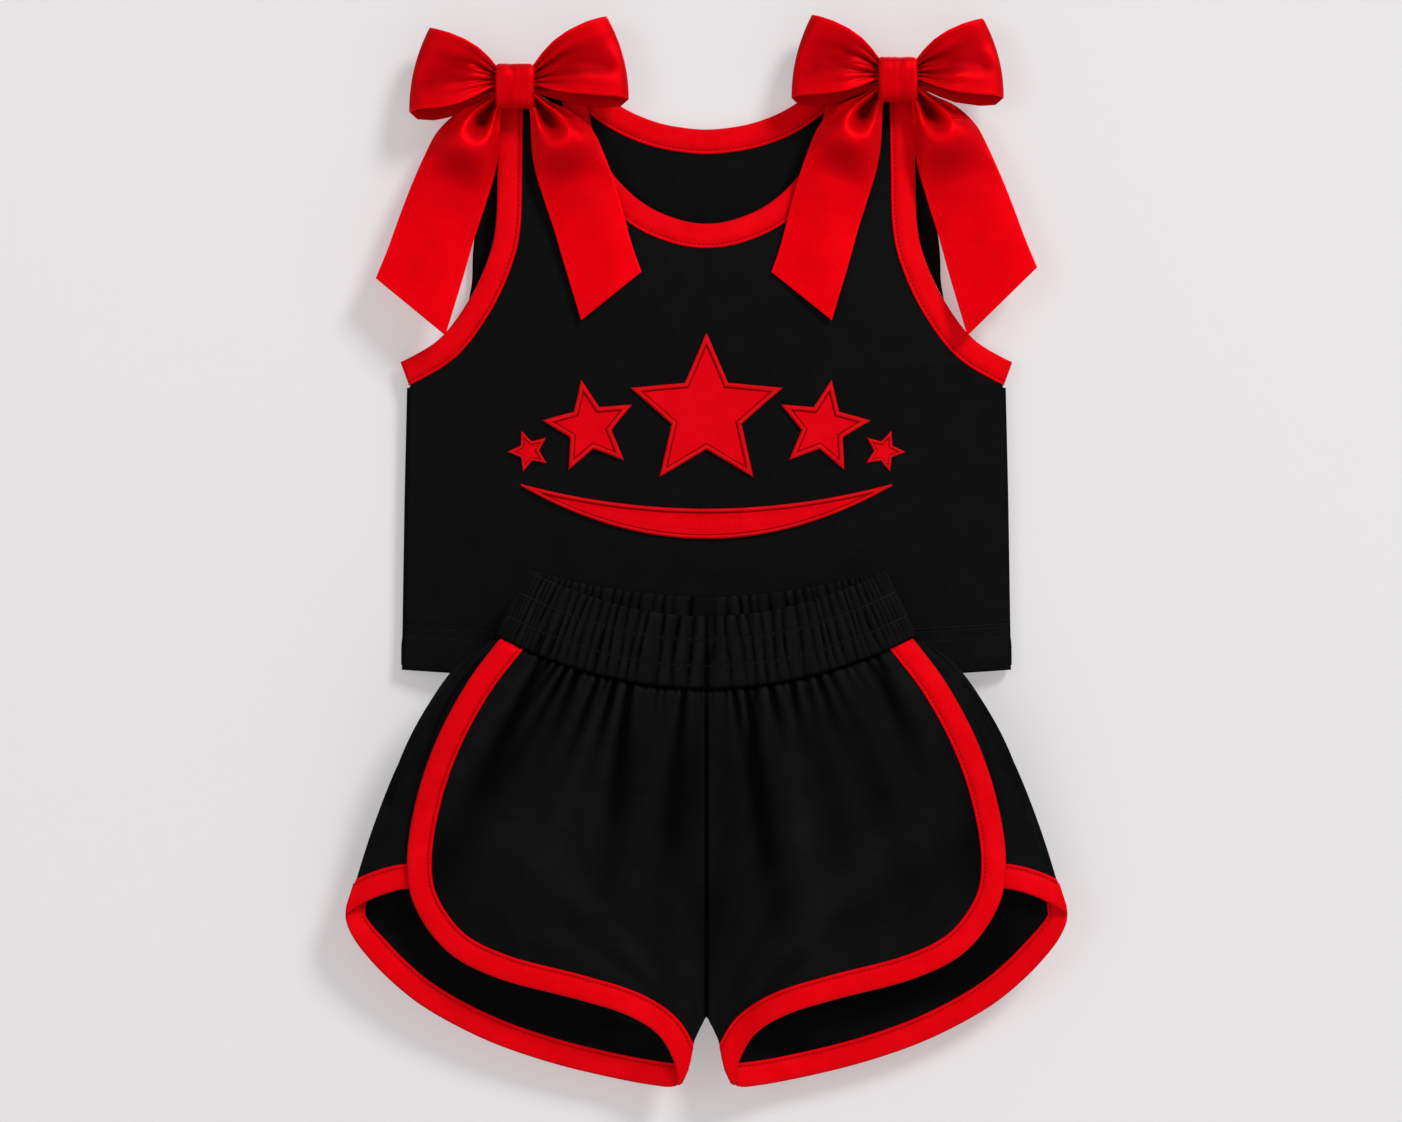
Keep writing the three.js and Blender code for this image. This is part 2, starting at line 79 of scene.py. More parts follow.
# a smooth line through control points, spaced evenly along its length
def smoothLine(points, spacing):
    dense = []
    last = len(points) - 1
    for i in range(last):
        p = [Vector(points[clamp(k, 0, last)]) for k in (i - 1, i, i + 1, i + 2)]
        dense += [splineAt(p, step / 16) for step in range(16)]
    dense.append(Vector(points[last]))
    return evenLine(dense, spacing=spacing)


def evenLine(line, spacing=None, count=None):
    lengths = [0.0]
    for a, b in zip(line, line[1:]):
        lengths.append(lengths[-1] + (b - a).length)
    total = lengths[-1]
    count = count or max(2, round(total / spacing))
    even, k = [], 0
    for i in range(count + 1):
        want = total * i / count
        while k < len(lengths) - 2 and lengths[k + 1] < want:
            k += 1
        span = lengths[k + 1] - lengths[k]
        even.append(line[k].lerp(line[k + 1], (want - lengths[k]) / span if span else 0))
    return even


# the same line moved to the right of its direction
def besideLine(line, distance):
    moved = []
    for i, p in enumerate(line):
        run = line[min(i + 1, len(line) - 1)] - line[max(i - 1, 0)]
        moved.append(p + Vector((run.y, -run.x)).normalized() * distance)
    return moved


# the part of a line for which a measure is positive, with its ends on the measure's zero
def trimmed(line, measure):
    kept = []
    for a, b in zip(line, line[1:]):
        ma, mb = measure(a), measure(b)
        if ma > 0 and not kept:
            kept.append(a)
        if (ma > 0) != (mb > 0):
            kept.append(a.lerp(b, ma / (ma - mb)))
        if mb > 0:
            kept.append(b)
    return kept


# y at x on a table of (x, y) pairs in rising order of x
def tableAt(table, x):
    if x <= table[0][0]:
        return table[0][1]
    for (xa, ya), (xb, yb) in zip(table, table[1:]):
        if x <= xb:
            return mix(ya, yb, (x - xa) / (xb - xa) if xb > xa else 1)
    return table[-1][1]


# the smooth line as such a table, on either of its two axes
def smoothTable(points, key=0):
    return sorted(((p[key], p[1 - key]) for p in smoothLine(points, 2.0)), key=lambda q: q[0])


# making meshes

# a grid whose points are put in place by one function and laid flat for the weave by another
def gridMesh(columns, rows, place, flat):
    bm = bmesh.new()
    bmesh.ops.create_grid(bm, x_segments=columns, y_segments=rows, size=1)
    uvLayer = bm.loops.layers.uv.new("cloth")
    tone = bm.verts.layers.float.new("fold")  # painted shade and highlight: from -1, painted shade in a valley, to 1, a painted highlight on a ridge
    shares = {v: ((v.co.x + 1) / 2, (v.co.y + 1) / 2) for v in bm.verts}
    uvs = {}
    for v, (s, t) in shares.items():
        at = place(s, t)
        v.co = at[:3]
        v[tone] = clamp(at[3], -1, 1) if len(at) > 3 else 0
        uvs[v] = flat(s, t)
    for face in bm.faces:
        for loop in face.loops:
            loop[uvLayer].uv = Vector(uvs[loop.vert]) * mm
    return bm


def mirrorMesh(bm, way):
    if way < 0:
        bmesh.ops.scale(bm, vec=(-1, 1, 1), verts=bm.verts)
        bmesh.ops.reverse_faces(bm, faces=bm.faces)
    return bm


def meshFrom(name, bm, material=None):
    mesh = bpy.data.meshes.new(name)
    bm.to_mesh(mesh)
    bm.free()
    if material:
        mesh.materials.append(material)
    return mesh


def joinInto(bm, other):
    mesh = meshFrom("part", other)
    bm.from_mesh(mesh)
    bpy.data.meshes.remove(mesh)


def addObject(name, data):
    made = bpy.data.objects.new(name, data)
    bpy.context.scene.collection.objects.link(made)
    return made


def makePiece(name, bm, material, body, slot, replaces=(), thick=None, offset=0.0, outward=None):
    bmesh.ops.scale(bm, vec=(mm, mm, mm), verts=bm.verts)
    if outward is not None:  # turn the sheet so that its faces look along a direction
        bm.normal_update()
        total = sum((f.normal * f.calc_area() for f in bm.faces), Vector())
        if total.dot(Vector(outward)) < 0:
            bmesh.ops.reverse_faces(bm, faces=bm.faces)
    elif thick is None:
        bmesh.ops.recalc_face_normals(bm, faces=bm.faces)
    piece = addObject(name, meshFrom(name, bm, material))
    piece.data.shade_smooth()
    if thick:
        solid = piece.modifiers.new("thickness", "SOLIDIFY")
        solid.thickness = thick * mm
        solid.offset = offset
        solid.use_even_offset = True
    if body:
        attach(piece, body)
    if replaces:
        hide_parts(*replaces)
    return piece


# cloth and thread

def newGroup(name, inputs, outputs):
    group = bpy.data.node_groups.new(name, "ShaderNodeTree")
    for label, value in inputs.items():
        socket = group.interface.new_socket(label, in_out="INPUT", socket_type="NodeSocketFloat")
        socket.default_value = value
    for label in outputs:
        group.interface.new_socket(label, in_out="OUTPUT", socket_type="NodeSocketFloat")
    return group, group.nodes.new("NodeGroupInput"), group.nodes.new("NodeGroupOutput")


def mathNode(tree, operation, a, b=None):
    node = tree.nodes.new("ShaderNodeMath")
    node.operation = operation
    for i, value in enumerate((a,) if b is None else (a, b)):
        if hasattr(value, "is_linked"):
            tree.links.new(value, node.inputs[i])
        else:
            node.inputs[i].default_value = value
    return node.outputs[0]


def addNode(tree, kind, values=None, links=None):
    node = tree.nodes.new("ShaderNode" + kind)
    for key, value in (values or {}).items():
        node.inputs[key].default_value = value
    for key, socket in (links or {}).items():
        tree.links.new(socket, node.inputs[key])
    return node


# ribs along one direction of the cloth and courses across them, on the piece's own UV map in metres
def weaveGroup():
    sockets = {"Ribs per metre": 1200, "Courses per metre": 900, "Slant": 0.0}
    group, given, out = newGroup("weave", sockets, ["Height", "Mottle"])
    uv = addNode(group, "UVMap").outputs[0]
    u, v = addNode(group, "SeparateXYZ", links={0: uv}).outputs[:2]
    leaning = mathNode(group, "ADD", u, mathNode(group, "MULTIPLY", v, given.outputs["Slant"]))
    waves = []
    for along, perMetre, share in ((leaning, given.outputs[0], 0.6), (v, given.outputs[1], 0.4)):
        turns = mathNode(group, "MULTIPLY", mathNode(group, "MULTIPLY", along, perMetre), 2 * math.pi)
        waves.append(mathNode(group, "MULTIPLY", mathNode(group, "SINE", turns), share))
    height = mathNode(group, "ADD", *waves)
    cloud = addNode(group, "TexNoise", {"Scale": 55, "Detail": 4}, {"Vector": uv})
    group.links.new(height, out.inputs[0])
    group.links.new(cloud.outputs[0], out.inputs[1])
    return group


weave = weaveGroup()

# what a look says where its own values don't
plainLook = {
    "courses": 10, "slant": 0.0, "bump": 0.3, "depth": 0.1,
    "paintedFoldShade": 0.5, "metal": 0.0, "glossTint": (1.0, 0.03, 0.04),
}


def clothMaterial(name, look):
    look = {**plainLook, **look}
    material = bpy.data.materials.new(name)
    material.use_nodes = True
    tree = material.node_tree
    shader = tree.nodes["Principled BSDF"]
    group = addNode(tree, "Group")
    group.node_tree = weave
    for i, key in enumerate(("ribs", "courses", "slant")):
        group.inputs[i].default_value = look[key]
    height, mottle = group.outputs
    spread = addNode(tree, "MapRange", {"From Min": 0.3, "From Max": 0.7}, {"Value": mottle})
    tone = addNode(tree, "Mix")
    tone.data_type = "RGBA"
    tone.inputs[6].default_value = (*look["dark"], 1)
    tone.inputs[7].default_value = (*look["light"], 1)
    tree.links.new(spread.outputs[0], tone.inputs[0])
    # the fold attribute scales the base colour: painted shade where it is below 0, a painted highlight where it is
    # above 0
    fold = addNode(tree, "Attribute")
    fold.attribute_name = "fold"
    paintedShadeScale = mathNode(tree, "MULTIPLY", fold.outputs["Fac"], look["paintedFoldShade"])
    paintedShadeScale = mathNode(tree, "MAXIMUM", mathNode(tree, "ADD", paintedShadeScale, 1.0), 0.06)
    shade = addNode(tree, "VectorMath")
    shade.operation = "SCALE"
    tree.links.new(tone.outputs[2], shade.inputs[0])
    tree.links.new(paintedShadeScale, shade.inputs["Scale"])
    low, high = look["rough"] - 0.05, look["rough"] + 0.05
    rough = addNode(tree, "MapRange", {"To Min": low, "To Max": high}, {"Value": mottle})
    bump = addNode(tree, "Bump", {"Strength": look["bump"], "Distance": look["depth"] * mm}, {"Height": height})
    for socket, node in (("Base Color", shade), ("Roughness", rough), ("Normal", bump)):
        tree.links.new(node.outputs[0], shader.inputs[socket])
    shader.inputs["Metallic"].default_value = look["metal"]
    shader.inputs["Specular IOR Level"].default_value = look["gloss"]
    shader.inputs["Specular Tint"].default_value = (*look["glossTint"], 1)
    return material


blackKnit = clothMaterial("black_knit", {
    "dark": (0.0033, 0.0034, 0.0036), "light": (0.0047, 0.0048, 0.0051), "paintedFoldShade": 1.6, "rough": 0.46,
    "gloss": 0.026, "glossTint": (0.9, 0.95, 1.0), "ribs": 1100, "courses": 800, "bump": 0.35, "depth": 0.15})
redBinding = clothMaterial("red_binding", {
    "dark": (0.68, 0.0, 0.003), "light": (0.78, 0.001, 0.005), "rough": 0.55, "gloss": 0.3,
    "ribs": 1400, "courses": 1000, "bump": 0.25, "depth": 0.12})
redSatin = clothMaterial("red_satin", {
    "dark": (0.66, 0.0, 0.003), "light": (0.74, 0.0, 0.004), "paintedFoldShade": 0.6, "metal": 0.45, "rough": 0.5,
    "gloss": 0.5, "glossTint": (1.0, 0.015, 0.025), "ribs": 900, "courses": 2400, "slant": 0.2, "bump": 0.12})
redTwill = clothMaterial("red_twill", {
    "dark": (0.74, 0.0, 0.004), "light": (0.84, 0.001, 0.007), "rough": 0.6, "gloss": 0.3,
    "ribs": 700, "courses": 1600, "slant": 1.0, "bump": 0.6, "depth": 0.25})
# the border thread's red, made lighter than the twill as a painted highlight on the raised border
satinStitch = clothMaterial("satin_stitch", {
    "dark": (0.86, 0.003, 0.006), "light": (0.96, 0.006, 0.010), "rough": 0.42, "gloss": 0.6,
    "ribs": 1600, "bump": 0.9, "depth": 0.3})
redThread = clothMaterial("red_thread", {
    "dark": (0.36, 0.0, 0.004), "light": (0.48, 0.0, 0.006), "rough": 0.45, "gloss": 0.35,
    "ribs": 2500})
# a dark red painted as the shade in the sunk line between the stitched border and the twill
paintedGrooveShade = clothMaterial("painted_groove_shade", {
    "dark": (0.26, 0.0, 0.002), "light": (0.34, 0.0, 0.003), "rough": 0.6, "gloss": 0.2,
    "ribs": 1600})
blackThread = clothMaterial("black_thread", {
    "dark": (0.005, 0.005, 0.0055), "light": (0.009, 0.009, 0.0098), "rough": 0.5, "gloss": 0.2,
    "glossTint": (0.9, 0.95, 1.0), "ribs": 2500})
print("materials made")


# where the cloth lies: its depth in front of the plane that the top's back lies on

bothSides = (("left", -1), ("right", 1))
layers = {"bindingWidth": 15.6, "bindingHalf": 1.5, "step": 3.3, "back": 1.5}
topShape = {
    "halfWidth": 191, "puff": 17, "puffPower": 2.6, "shoulderFade": 150,
    "hemDrop": 370.5, "hemRise": 6.5, "hemBand": 24, "hemHalf": 1.15,
}
shortsShape = {
    "waistHalf": 131.5, "waistTopHalf": 112, "legHalf": 224.3, "waistDepth": 41, "legDepth": 26,
    "room": 12.5, "roomPower": 2.4, "crotchDrop": 581, "sideBottom": 342,
    "frontTop": 331, "frontBottom": 374.6, "backTop": 319, "backBottom": 362.6, "sideTop": 302, "tuck": 2.6,
}


def topFrontDepth(x, z):
    across = 1 - min(1, abs(x) / topShape["halfWidth"]) ** topShape["puffPower"]
    return layers["back"] + layers["step"] + topShape["puff"] * across * ease(-z, 0, topShape["shoulderFade"])


def topBackDepth(x, z):  # the back lies flat
    return layers["back"]


def shoulderZ(x):
    return 3 - 6 * (abs(x) - 76) / 55


def parabola(centre, side, half):
    return lambda x: centre + (side - centre) * (x / half) ** 2


def shortsHalfWidth(z):
    down = clamp((-z - shortsShape["sideBottom"]) / 173)
    return mix(shortsShape["waistHalf"], shortsShape["legHalf"], down ** 0.69)


def shortsRoom(x, z):
    across = min(1, abs(x) / shortsHalfWidth(z))
    leg = ease(-z, 490, shortsShape["crotchDrop"] - 6)
    inner = mix(1, ease(abs(x), 4, 60), leg)
    return max(layers["step"] / 2, shortsShape["room"] * inner * math.sqrt(1 - across ** shortsShape["roomPower"]))


def shortsCentre(z):
    return mix(shortsShape["waistDepth"], shortsShape["legDepth"], ease(-z, 376, 470))


hemLine = parabola(-topShape["hemDrop"], -topShape["hemDrop"] + topShape["hemRise"], topShape["halfWidth"])
bandFrontTop, bandBackTop, bandFrontBottom, bandBackBottom = (
    parabola(-shortsShape[centre], -shortsShape[side], shortsShape[half]) for centre, side, half in (
        ("frontTop", "sideTop", "waistTopHalf"), ("backTop", "sideTop", "waistTopHalf"),
        ("frontBottom", "sideBottom", "waistHalf"), ("backBottom", "sideBottom", "waistHalf")))


def underBand(x, z, bottom):  # the legs' cloth goes under the waistband
    return shortsShape["tuck"] * (1 - ease(bottom(x) - z, -1, 5))


def shortsFrontDepth(x, z):
    return shortsCentre(z) + shortsRoom(x, z) - underBand(x, z, bandFrontBottom)


def shortsBackDepth(x, z):
    corner = ease(x, 195, 214) * ease(-z, 478, 498) * (1 - ease(-z, 512, 540))  # it passes behind the side edging
    return shortsCentre(z) - shortsRoom(x, z) + underBand(x, z, bandBackBottom) - 3.0 * corner


def shortsSideDepth(x, z):
    return shortsFrontDepth(x, z) - layers["step"]


# outlines of the cut pieces, in X and Z

frontNeck = [(0, -84.5), (20, -81), (41, -70.5), (60, -51), (71, -26), (76, 0), (77.5, 16)]
backNeck = [(0, -24.6), (20, -22.6), (36, -18.4), (51, -11.6), (65, -1.5), (80, 13)]
armhole = [(130, 16), (131, -50), (132, -85), (137, -107), (149, -132.5), (168, -157), (196, -173)]
backArmhole = [(131, -3), (137, -40), (146, -95), (148, -125), (157, -149), (190, -172)]
sideSeam = [(187, -187), (188.5, -257), (190, -346)]
frontEdge = [(126, -341), (148, -370), (168, -407), (181, -445), (186.6, -482), (181.6, -511), (161, -539),
             (129, -555.6), (82, -568), (51, -577.5), (31, -590), (21.5, -605), (18.5, -617), (18, -626)]
backHem = [(218.5, -491), (222.8, -504), (225.6, -515.5), (223.4, -525.5), (215, -539), (198, -557.5), (174.7, -576),
           (139, -595), (100, -609), (60, -619), (32, -623.6), (4, -625.5)]
sideLine = [(131.5, -343), (155.3, -367.5), (173.4, -394.7), (191, -426), (207, -463.8), (219, -497)]
sideHem = [(224.9, -517), (219.7, -512.7), (214.5, -509.6), (208.3, -506.4), (202, -503.9), (193.6, -501.3),
           (184, -499.8), (150, -497)]
inseam = [(-640, 23), (-626, 18.5), (-622, 15.2), (-614, 11.4), (-606, 9.4), (-595, 7.6), (-581, 1.2),
          (-300, 1.2)]  # z, x


def inseamX(z):
    return tableAt(inseam, z)


def ripple(x, z, size, seed):
    return noise.noise(Vector((x / size, z / size, seed)))


topCloth = {"cell": 3.0, "ripple": 0.7, "rippleSize": 70, "long": 350, "wide": 380, "hidden": 6}


def widthTable(hole, sides, inset):
    return sorted([(z, x - inset) for x, z in sides] + [(z, x - inset) for z, x in smoothTable(hole, key=1)])


# the side's place near the bottom of the armhole
armEnd = [(-190.5, 300), (-189.5, 188.2), (-186, 185.6), (-173, 184), (-166, 172), (-158, 166), (-140, 156),
          (-120, 160)]


def topPanel(hole, inset, neck, depthAt, rippleSeed):
    width = widthTable(hole, sideSeam, inset)
    side = widthTable([(187, -170), (187, -150)], sideSeam, 0)
    wide, long = topCloth["wide"], topCloth["long"]

    def place(s, t):
        base = mix(hemLine(0) + 22, 2.5, t)
        half = tableAt(width, base) if base > -180 else tableAt(side, base)
        half = min(half, tableAt(armEnd, base))
        x = (2 * s - 1) * half
        z = base + (shoulderZ(x) - 3) * ease(base, -60, 2.5) if abs(x) > 60 else base
        z += (topShape["hemRise"] * (x / topShape["halfWidth"]) ** 2) * ease(-base, 200, 346)
        lift = topCloth["ripple"] * ripple(x, z, topCloth["rippleSize"], rippleSeed)
        return Vector((x, -depthAt(x, z) - lift * ease(topShape["halfWidth"] - abs(x), 0, 40), z))

    columns, rows = (round(length / topCloth["cell"]) for length in (wide, long))
    bm = gridMesh(columns, rows, place, lambda s, t: (s * wide, t * long))
    opening = smoothTable(neck)
    edge = smoothLine(neck, 3.0)
    cut = []
    for face in bm.faces:
        p = face.calc_center_median()
        x, z = abs(p.x), p.z
        if x < neck[-1][0] + 12 and z > -110:
            inside = x < neck[-1][0] and z > tableAt(opening, x)
            near = min((q - Vector((x, z))).length for q in edge)
            if inside or near < topCloth["hidden"]:  # the raw edge is inside the binding
                cut.append(face)
    bmesh.ops.delete(bm, geom=cut, context="FACES")
    return bm


def knitPanel(name, bm, body, nodes, outward):
    piece = makePiece(name, bm, blackKnit, body, "black_knit", nodes, thick=0.9, outward=(0, outward, 0))


frontBm = topPanel(armhole, 2.0, frontNeck, topFrontDepth, 3.1)
knitPanel("top_front", frontBm, "top", ["top_front_panel"], -1)
backBm = topPanel(backArmhole, 0.0, backNeck, topBackDepth, 9.4)
for v in backBm.verts:  # the back lies flat
    v.co.y = clamp(v.co.y, -1.7, -1.3)
knitPanel("top_back", backBm, "top", ["top_back_panel"], 1)
print("top panels made")


# a folded strip's section: how far in from the fold and how far from its middle, from the front edge to the back one
def stripSection(width, half, groove):
    front = [(width, 0.3), (width - 0.15, 0.8), (width - 0.6, 1.12), (width - 1.3, 1.1), (width - 2.0, 1.0 - groove),
             (width - 2.8, 1.0 - groove), (width - 3.6, 1.02), (width * 0.55, 1.1), (width * 0.3, 1.08), (1.6, 1.02),
             (0.9, 0.9), (0.35, 0.62), (0.06, 0.25)]
    front = [(s, d * half) for s, d in front]
    return front + [(0.0, 0.0)] + [(s, -d) for s, d in reversed(front)]


def foldedStrip(path, depthAt, width, half, keep=None, bend=None, groove=0.3, spacing=2.5, corner=0.0, seed=0.0):
    section = stripSection(width, half, groove)
    lines = {}
    for inset in sorted({inset for inset, height in section}):
        line = besideLine(path, inset)
        if bend:
            line = [bend(p, inset) for p in line]
        if keep:
            line = trimmed(line, keep)
        lines[inset] = line
    count = round(sum((b - a).length for a, b in zip(lines[0.0], lines[0.0][1:])) / spacing)
    lines = {inset: evenLine(line, count=count) for inset, line in lines.items()}
    length = count * spacing
    rows = len(section) - 1

    def place(s, t):
        inset, height = section[round(t * rows)]
        i = round(s * count)
        p = lines[inset][i]
        if corner:  # rounds the outer corner at the far end
            left = (1 - s) * length
            if left < corner:
                floor = corner - math.sqrt(max(0, corner ** 2 - (corner - left) ** 2))
                if inset < floor:
                    back = lines[min(lines, key=lambda q: abs(q - floor))][i]
                    p = p.lerp(back, clamp((floor - inset) / max(floor, 0.01)))
        soft = 0.12 * noise.noise(Vector((p.x / 9, p.y / 9, seed)))
        # the fourth value is painted shade where the strip sinks, in its stitched groove and as it turns round the
        # fold, and a painted highlight where it stands highest, on the rolled edge
        return Vector((p.x, -depthAt(p.x, p.y) - height * (1 + soft), p.y, 1.0 * (abs(height) / half - 1)))

    def flat(s, t):
        return s * length, section[round(t * rows)][0] * (1 if t < 0.5 else -1)

    return gridMesh(count, rows, place, flat)


def stitchRow(bm, path, depthAt, height, keep=None, long=2.0, gap=0.9, wide=0.32, seed=1):
    rng = random.Random(seed)
    line = evenLine(trimmed(path, keep) if keep else path, spacing=long + gap)
    for a, b in zip(line, line[1:]):
        middle, run = (a + b) / 2, (b - a)
        turn = math.atan2(run.y, run.x) + rng.uniform(-0.03, 0.03)
        place = Matrix.Translation(Vector((middle.x, -depthAt(middle.x, middle.y) - height, middle.y)))
        place @= Matrix.Rotation(-turn, 4, "Y") @ Matrix.Diagonal((long / 2, wide * 0.7, wide, 1))
        bmesh.ops.create_icosphere(bm, subdivisions=1, radius=1, matrix=place)


# where an edging is kept: each measure is positive there
def belowShoulder(p):
    return shoulderZ(p.x) + 0.5 - p.y


def insideSide(p):
    return min(mix(186.4, 191.2, (p.y + 186) / 13) - p.x, belowShoulder(p))


def frontLeg(p):
    return min(p.x - inseamX(p.y), bandFrontBottom(p.x) + 1.5 - p.y, p.y + 622.5)


def backLeg(p):
    return min(p.x - inseamX(p.y), -497 - p.y)


# the leg's side as seen from the front, z and x
legSide = [(-540, 218), (-530, 222), (-520, 224.8), (-515, 225.3), (-509, 224.6), (-503, 222.2), (-497, 219.6),
           (-480, 214)]


def sideLeg(p):
    return tableAt(legSide, p.y) - p.x


def bindingPiece(name, bm, stitches, body, replaces, way=1, material=redBinding, slot="red_binding",
                 thread=redThread):
    mirrorMesh(bm, way)
    mirrorMesh(stitches, way)
    piece = makePiece(name, bm, material, body, slot, replaces, thick=0.45, offset=-1.0)
    rows = makePiece(name + "_stitches", stitches, thread, body, "red_thread" if thread is redThread else slot)
    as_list(replaces[:1])


width, half = layers["bindingWidth"], layers["bindingHalf"]
stitchIn = width - 2.4


def strip(points, depthAt, keep=None, sides=1, **more):
    path = smoothLine(points, 2.0)
    rows = bmesh.new()
    line = besideLine(path, stitchIn)
    if more.get("bend"):
        line = [more["bend"](p, stitchIn) for p in line]
    stitchRow(rows, line, depthAt, half * 0.86, keep)
    if sides == 2:
        stitchRow(rows, line, depthAt, -half * 0.86, keep)
    return foldedStrip(path, depthAt, width, half, keep, **more), rows


def fullNeck(half):
    return [(-x, z) for x, z in half[::-1]] + half[1:]


for name, line, depthAt, long in (
        ("front_neck", frontNeck, topFrontDepth, 0.30),
        ("back_neck", backNeck, topBackDepth, 0.20)):
    cloth, rows = strip(fullNeck(line), depthAt, belowShoulder, sides=2, seed=len(name))
    bindingPiece(name + "_edging", cloth, rows, "top", [name + "_binding"])

for side, way in bothSides:
    cloth, rows = strip(armhole, topFrontDepth, insideSide, sides=2)
    bindingPiece(side + "_armhole_edging", cloth, rows, "top", [side + "_armhole_binding"], way)

for name, depthAt, out in (("front", topFrontDepth, 1), ("back", topBackDepth, -1)):
    side = topShape["halfWidth"] + 0.2
    path = [Vector((x, hemLine(x))) for x in [side - 4 * i for i in range(int(side / 2) + 1)] if x >= -side]
    path.append(Vector((-side, hemLine(side))))
    path = evenLine(path, spacing=3.0)
    band, thin = topShape["hemBand"], topShape["hemHalf"]
    cloth = foldedStrip(path, depthAt, band + 6, thin, groove=0.05, spacing=3.0)
    rows = bmesh.new()
    for inset in (band + 3.2, band - 3.0):
        stitchRow(rows, besideLine(path, inset), depthAt, out * thin * 1.02, long=2.2, gap=0.8, wide=0.26)
    bindingPiece(f"top_{name}_hem", cloth, rows, "top", [f"top_{name}_hem_band"],
                 material=blackKnit, slot="black_knit", thread=blackThread)
print("top edges made")


# cloth that turns round an edge, from the front layer to the back one
def bridgeSheet(name, count, lineA, lineB, bulge, material, slot):
    def place(s, t):
        a, b = lineA(s), lineB(s)
        angle = math.pi * t
        return (a + b) / 2 + (a - b) / 2 * math.cos(angle) + Vector(bulge) * math.sin(angle)

    bm = gridMesh(count, 8, place, lambda s, t: (s * count * 4, t * 8))
    piece = makePiece(name, bm, material, "top", slot, thick=0.8)


for side, way in bothSides:
    def sideFront(s):
        z = mix(-187, -361, s)
        x = tableAt([(-370, 190.2), (-347, 190), (-345, 189.4), (-257, 188), (-187, 186.4)], z)
        return Vector((way * x, -topFrontDepth(x, z), z))

    def sideBack(s):
        p = sideFront(s)
        return Vector((p.x, -layers["back"], p.z))

    bridgeSheet(side + "_side_seam", 60, sideFront, sideBack, (way * 1.2, 0, 0), blackKnit, "black_knit")
    for name, inner, outer, material, slot in (
            ("shoulder_cloth", 90, 117, blackKnit, "black_knit"),
            ("shoulder_neck_binding", 76, 92, redBinding, "red_binding"),
            ("shoulder_arm_binding", 115.5, 130.5, redBinding, "red_binding")):
        grow = 0.9 if slot == "red_binding" else 0.3

        def strapEdge(s, depthAt, out):
            x = mix(inner, outer, s)
            return Vector((way * x, -(depthAt(x, 0) + out), shoulderZ(x) - 0.3))

        bridgeSheet(f"{side}_{name}", 8, lambda s: strapEdge(s, topFrontDepth, grow),
                    lambda s: strapEdge(s, topBackDepth, -grow), (0, 0, 1.2 + grow), material, slot)
print("top seams made")


# chest emblem: a plain star group over a sash

emblemLook = {"border": 3.6, "rise": 1.3, "base": 0.6, "waist": 0.46, "wall": 0.3}
sashLook = {"half": 116, "middle": (-263, -282), "tips": (-247, -247.6), "tipsAt": 118}
emblemStars = [  # name, its solid, centre across and up, radius, turn in degrees
    ("emblem_centre_star", "emblem_star_centre", 0, -203, 50, 0),
    ("right_inner_star", "right_emblem_star_inner", 73, -212, 30, -10),
    ("left_inner_star", "left_emblem_star_inner", -73, -212, 30, 10),
    ("right_outer_star", "right_emblem_star_outer", 111, -227, 13.5, -20),
    ("left_outer_star", "left_emblem_star_outer", -111, -227, 13.5, 20),
]


def stitchedHeight(edge):  # rise of the stitched border at a distance from the cloth's edge
    return tableAt([(0, 0), (0.35, 0.7), (0.95, 1.0), (1.6, 1.0), (2.2, 0.7), (2.6, 0.0)], edge)


def sashMesh():
    upper, lower = (parabola(sashLook["middle"][i], sashLook["tips"][i], sashLook["tipsAt"]) for i in (0, 1))
    end = sashLook["half"]
    edges = [0, 0.12, 0.35, 0.65, 0.95, 1.3, 1.6, 1.9, 2.2, 2.6, 3.1, 4.5, 7]
    edges = [(e, 0) for e in edges] + [(e, 1) for e in reversed(edges)]
    rows = len(edges) - 1

    def place(s, t):
        x = mix(-end, end, s)
        edge, top = edges[round(t * rows)]
        tall = upper(x) - lower(x)
        edge = min(edge, tall / 2)
        ends = (end - abs(x)) * 0.5
        height = emblemLook["rise"] * stitchedHeight(min(edge, ends) if ends < 2.6 else edge)
        z = upper(x) - edge if top else lower(x) + edge
        wall = (emblemLook["base"] + 0.5) if edge == 0 else 0
        return Vector((x, -topFrontDepth(x, z) - 0.9 - emblemLook["base"] - height + wall, z))

    bm = gridMesh(150, rows, place, lambda s, t: (s * 240, edges[round(t * rows)][0]))
    for face in bm.faces:
        p = face.calc_center_median()
        edge = min(upper(p.x) - p.z, p.z - lower(p.x))
        # the stitched border, then a narrow band in painted shade, then the twill
        face.material_index = 1 if edge < 2.3 else 2 if edge < 3.0 else 0
    return bm


def emblemSheet(name, bm, replaces):
    piece = makePiece(name, bm, redTwill, "top", "red_twill", replaces, outward=(0, -1, 0))
    for material in (satinStitch, paintedGrooveShade):
        piece.data.materials.append(material)


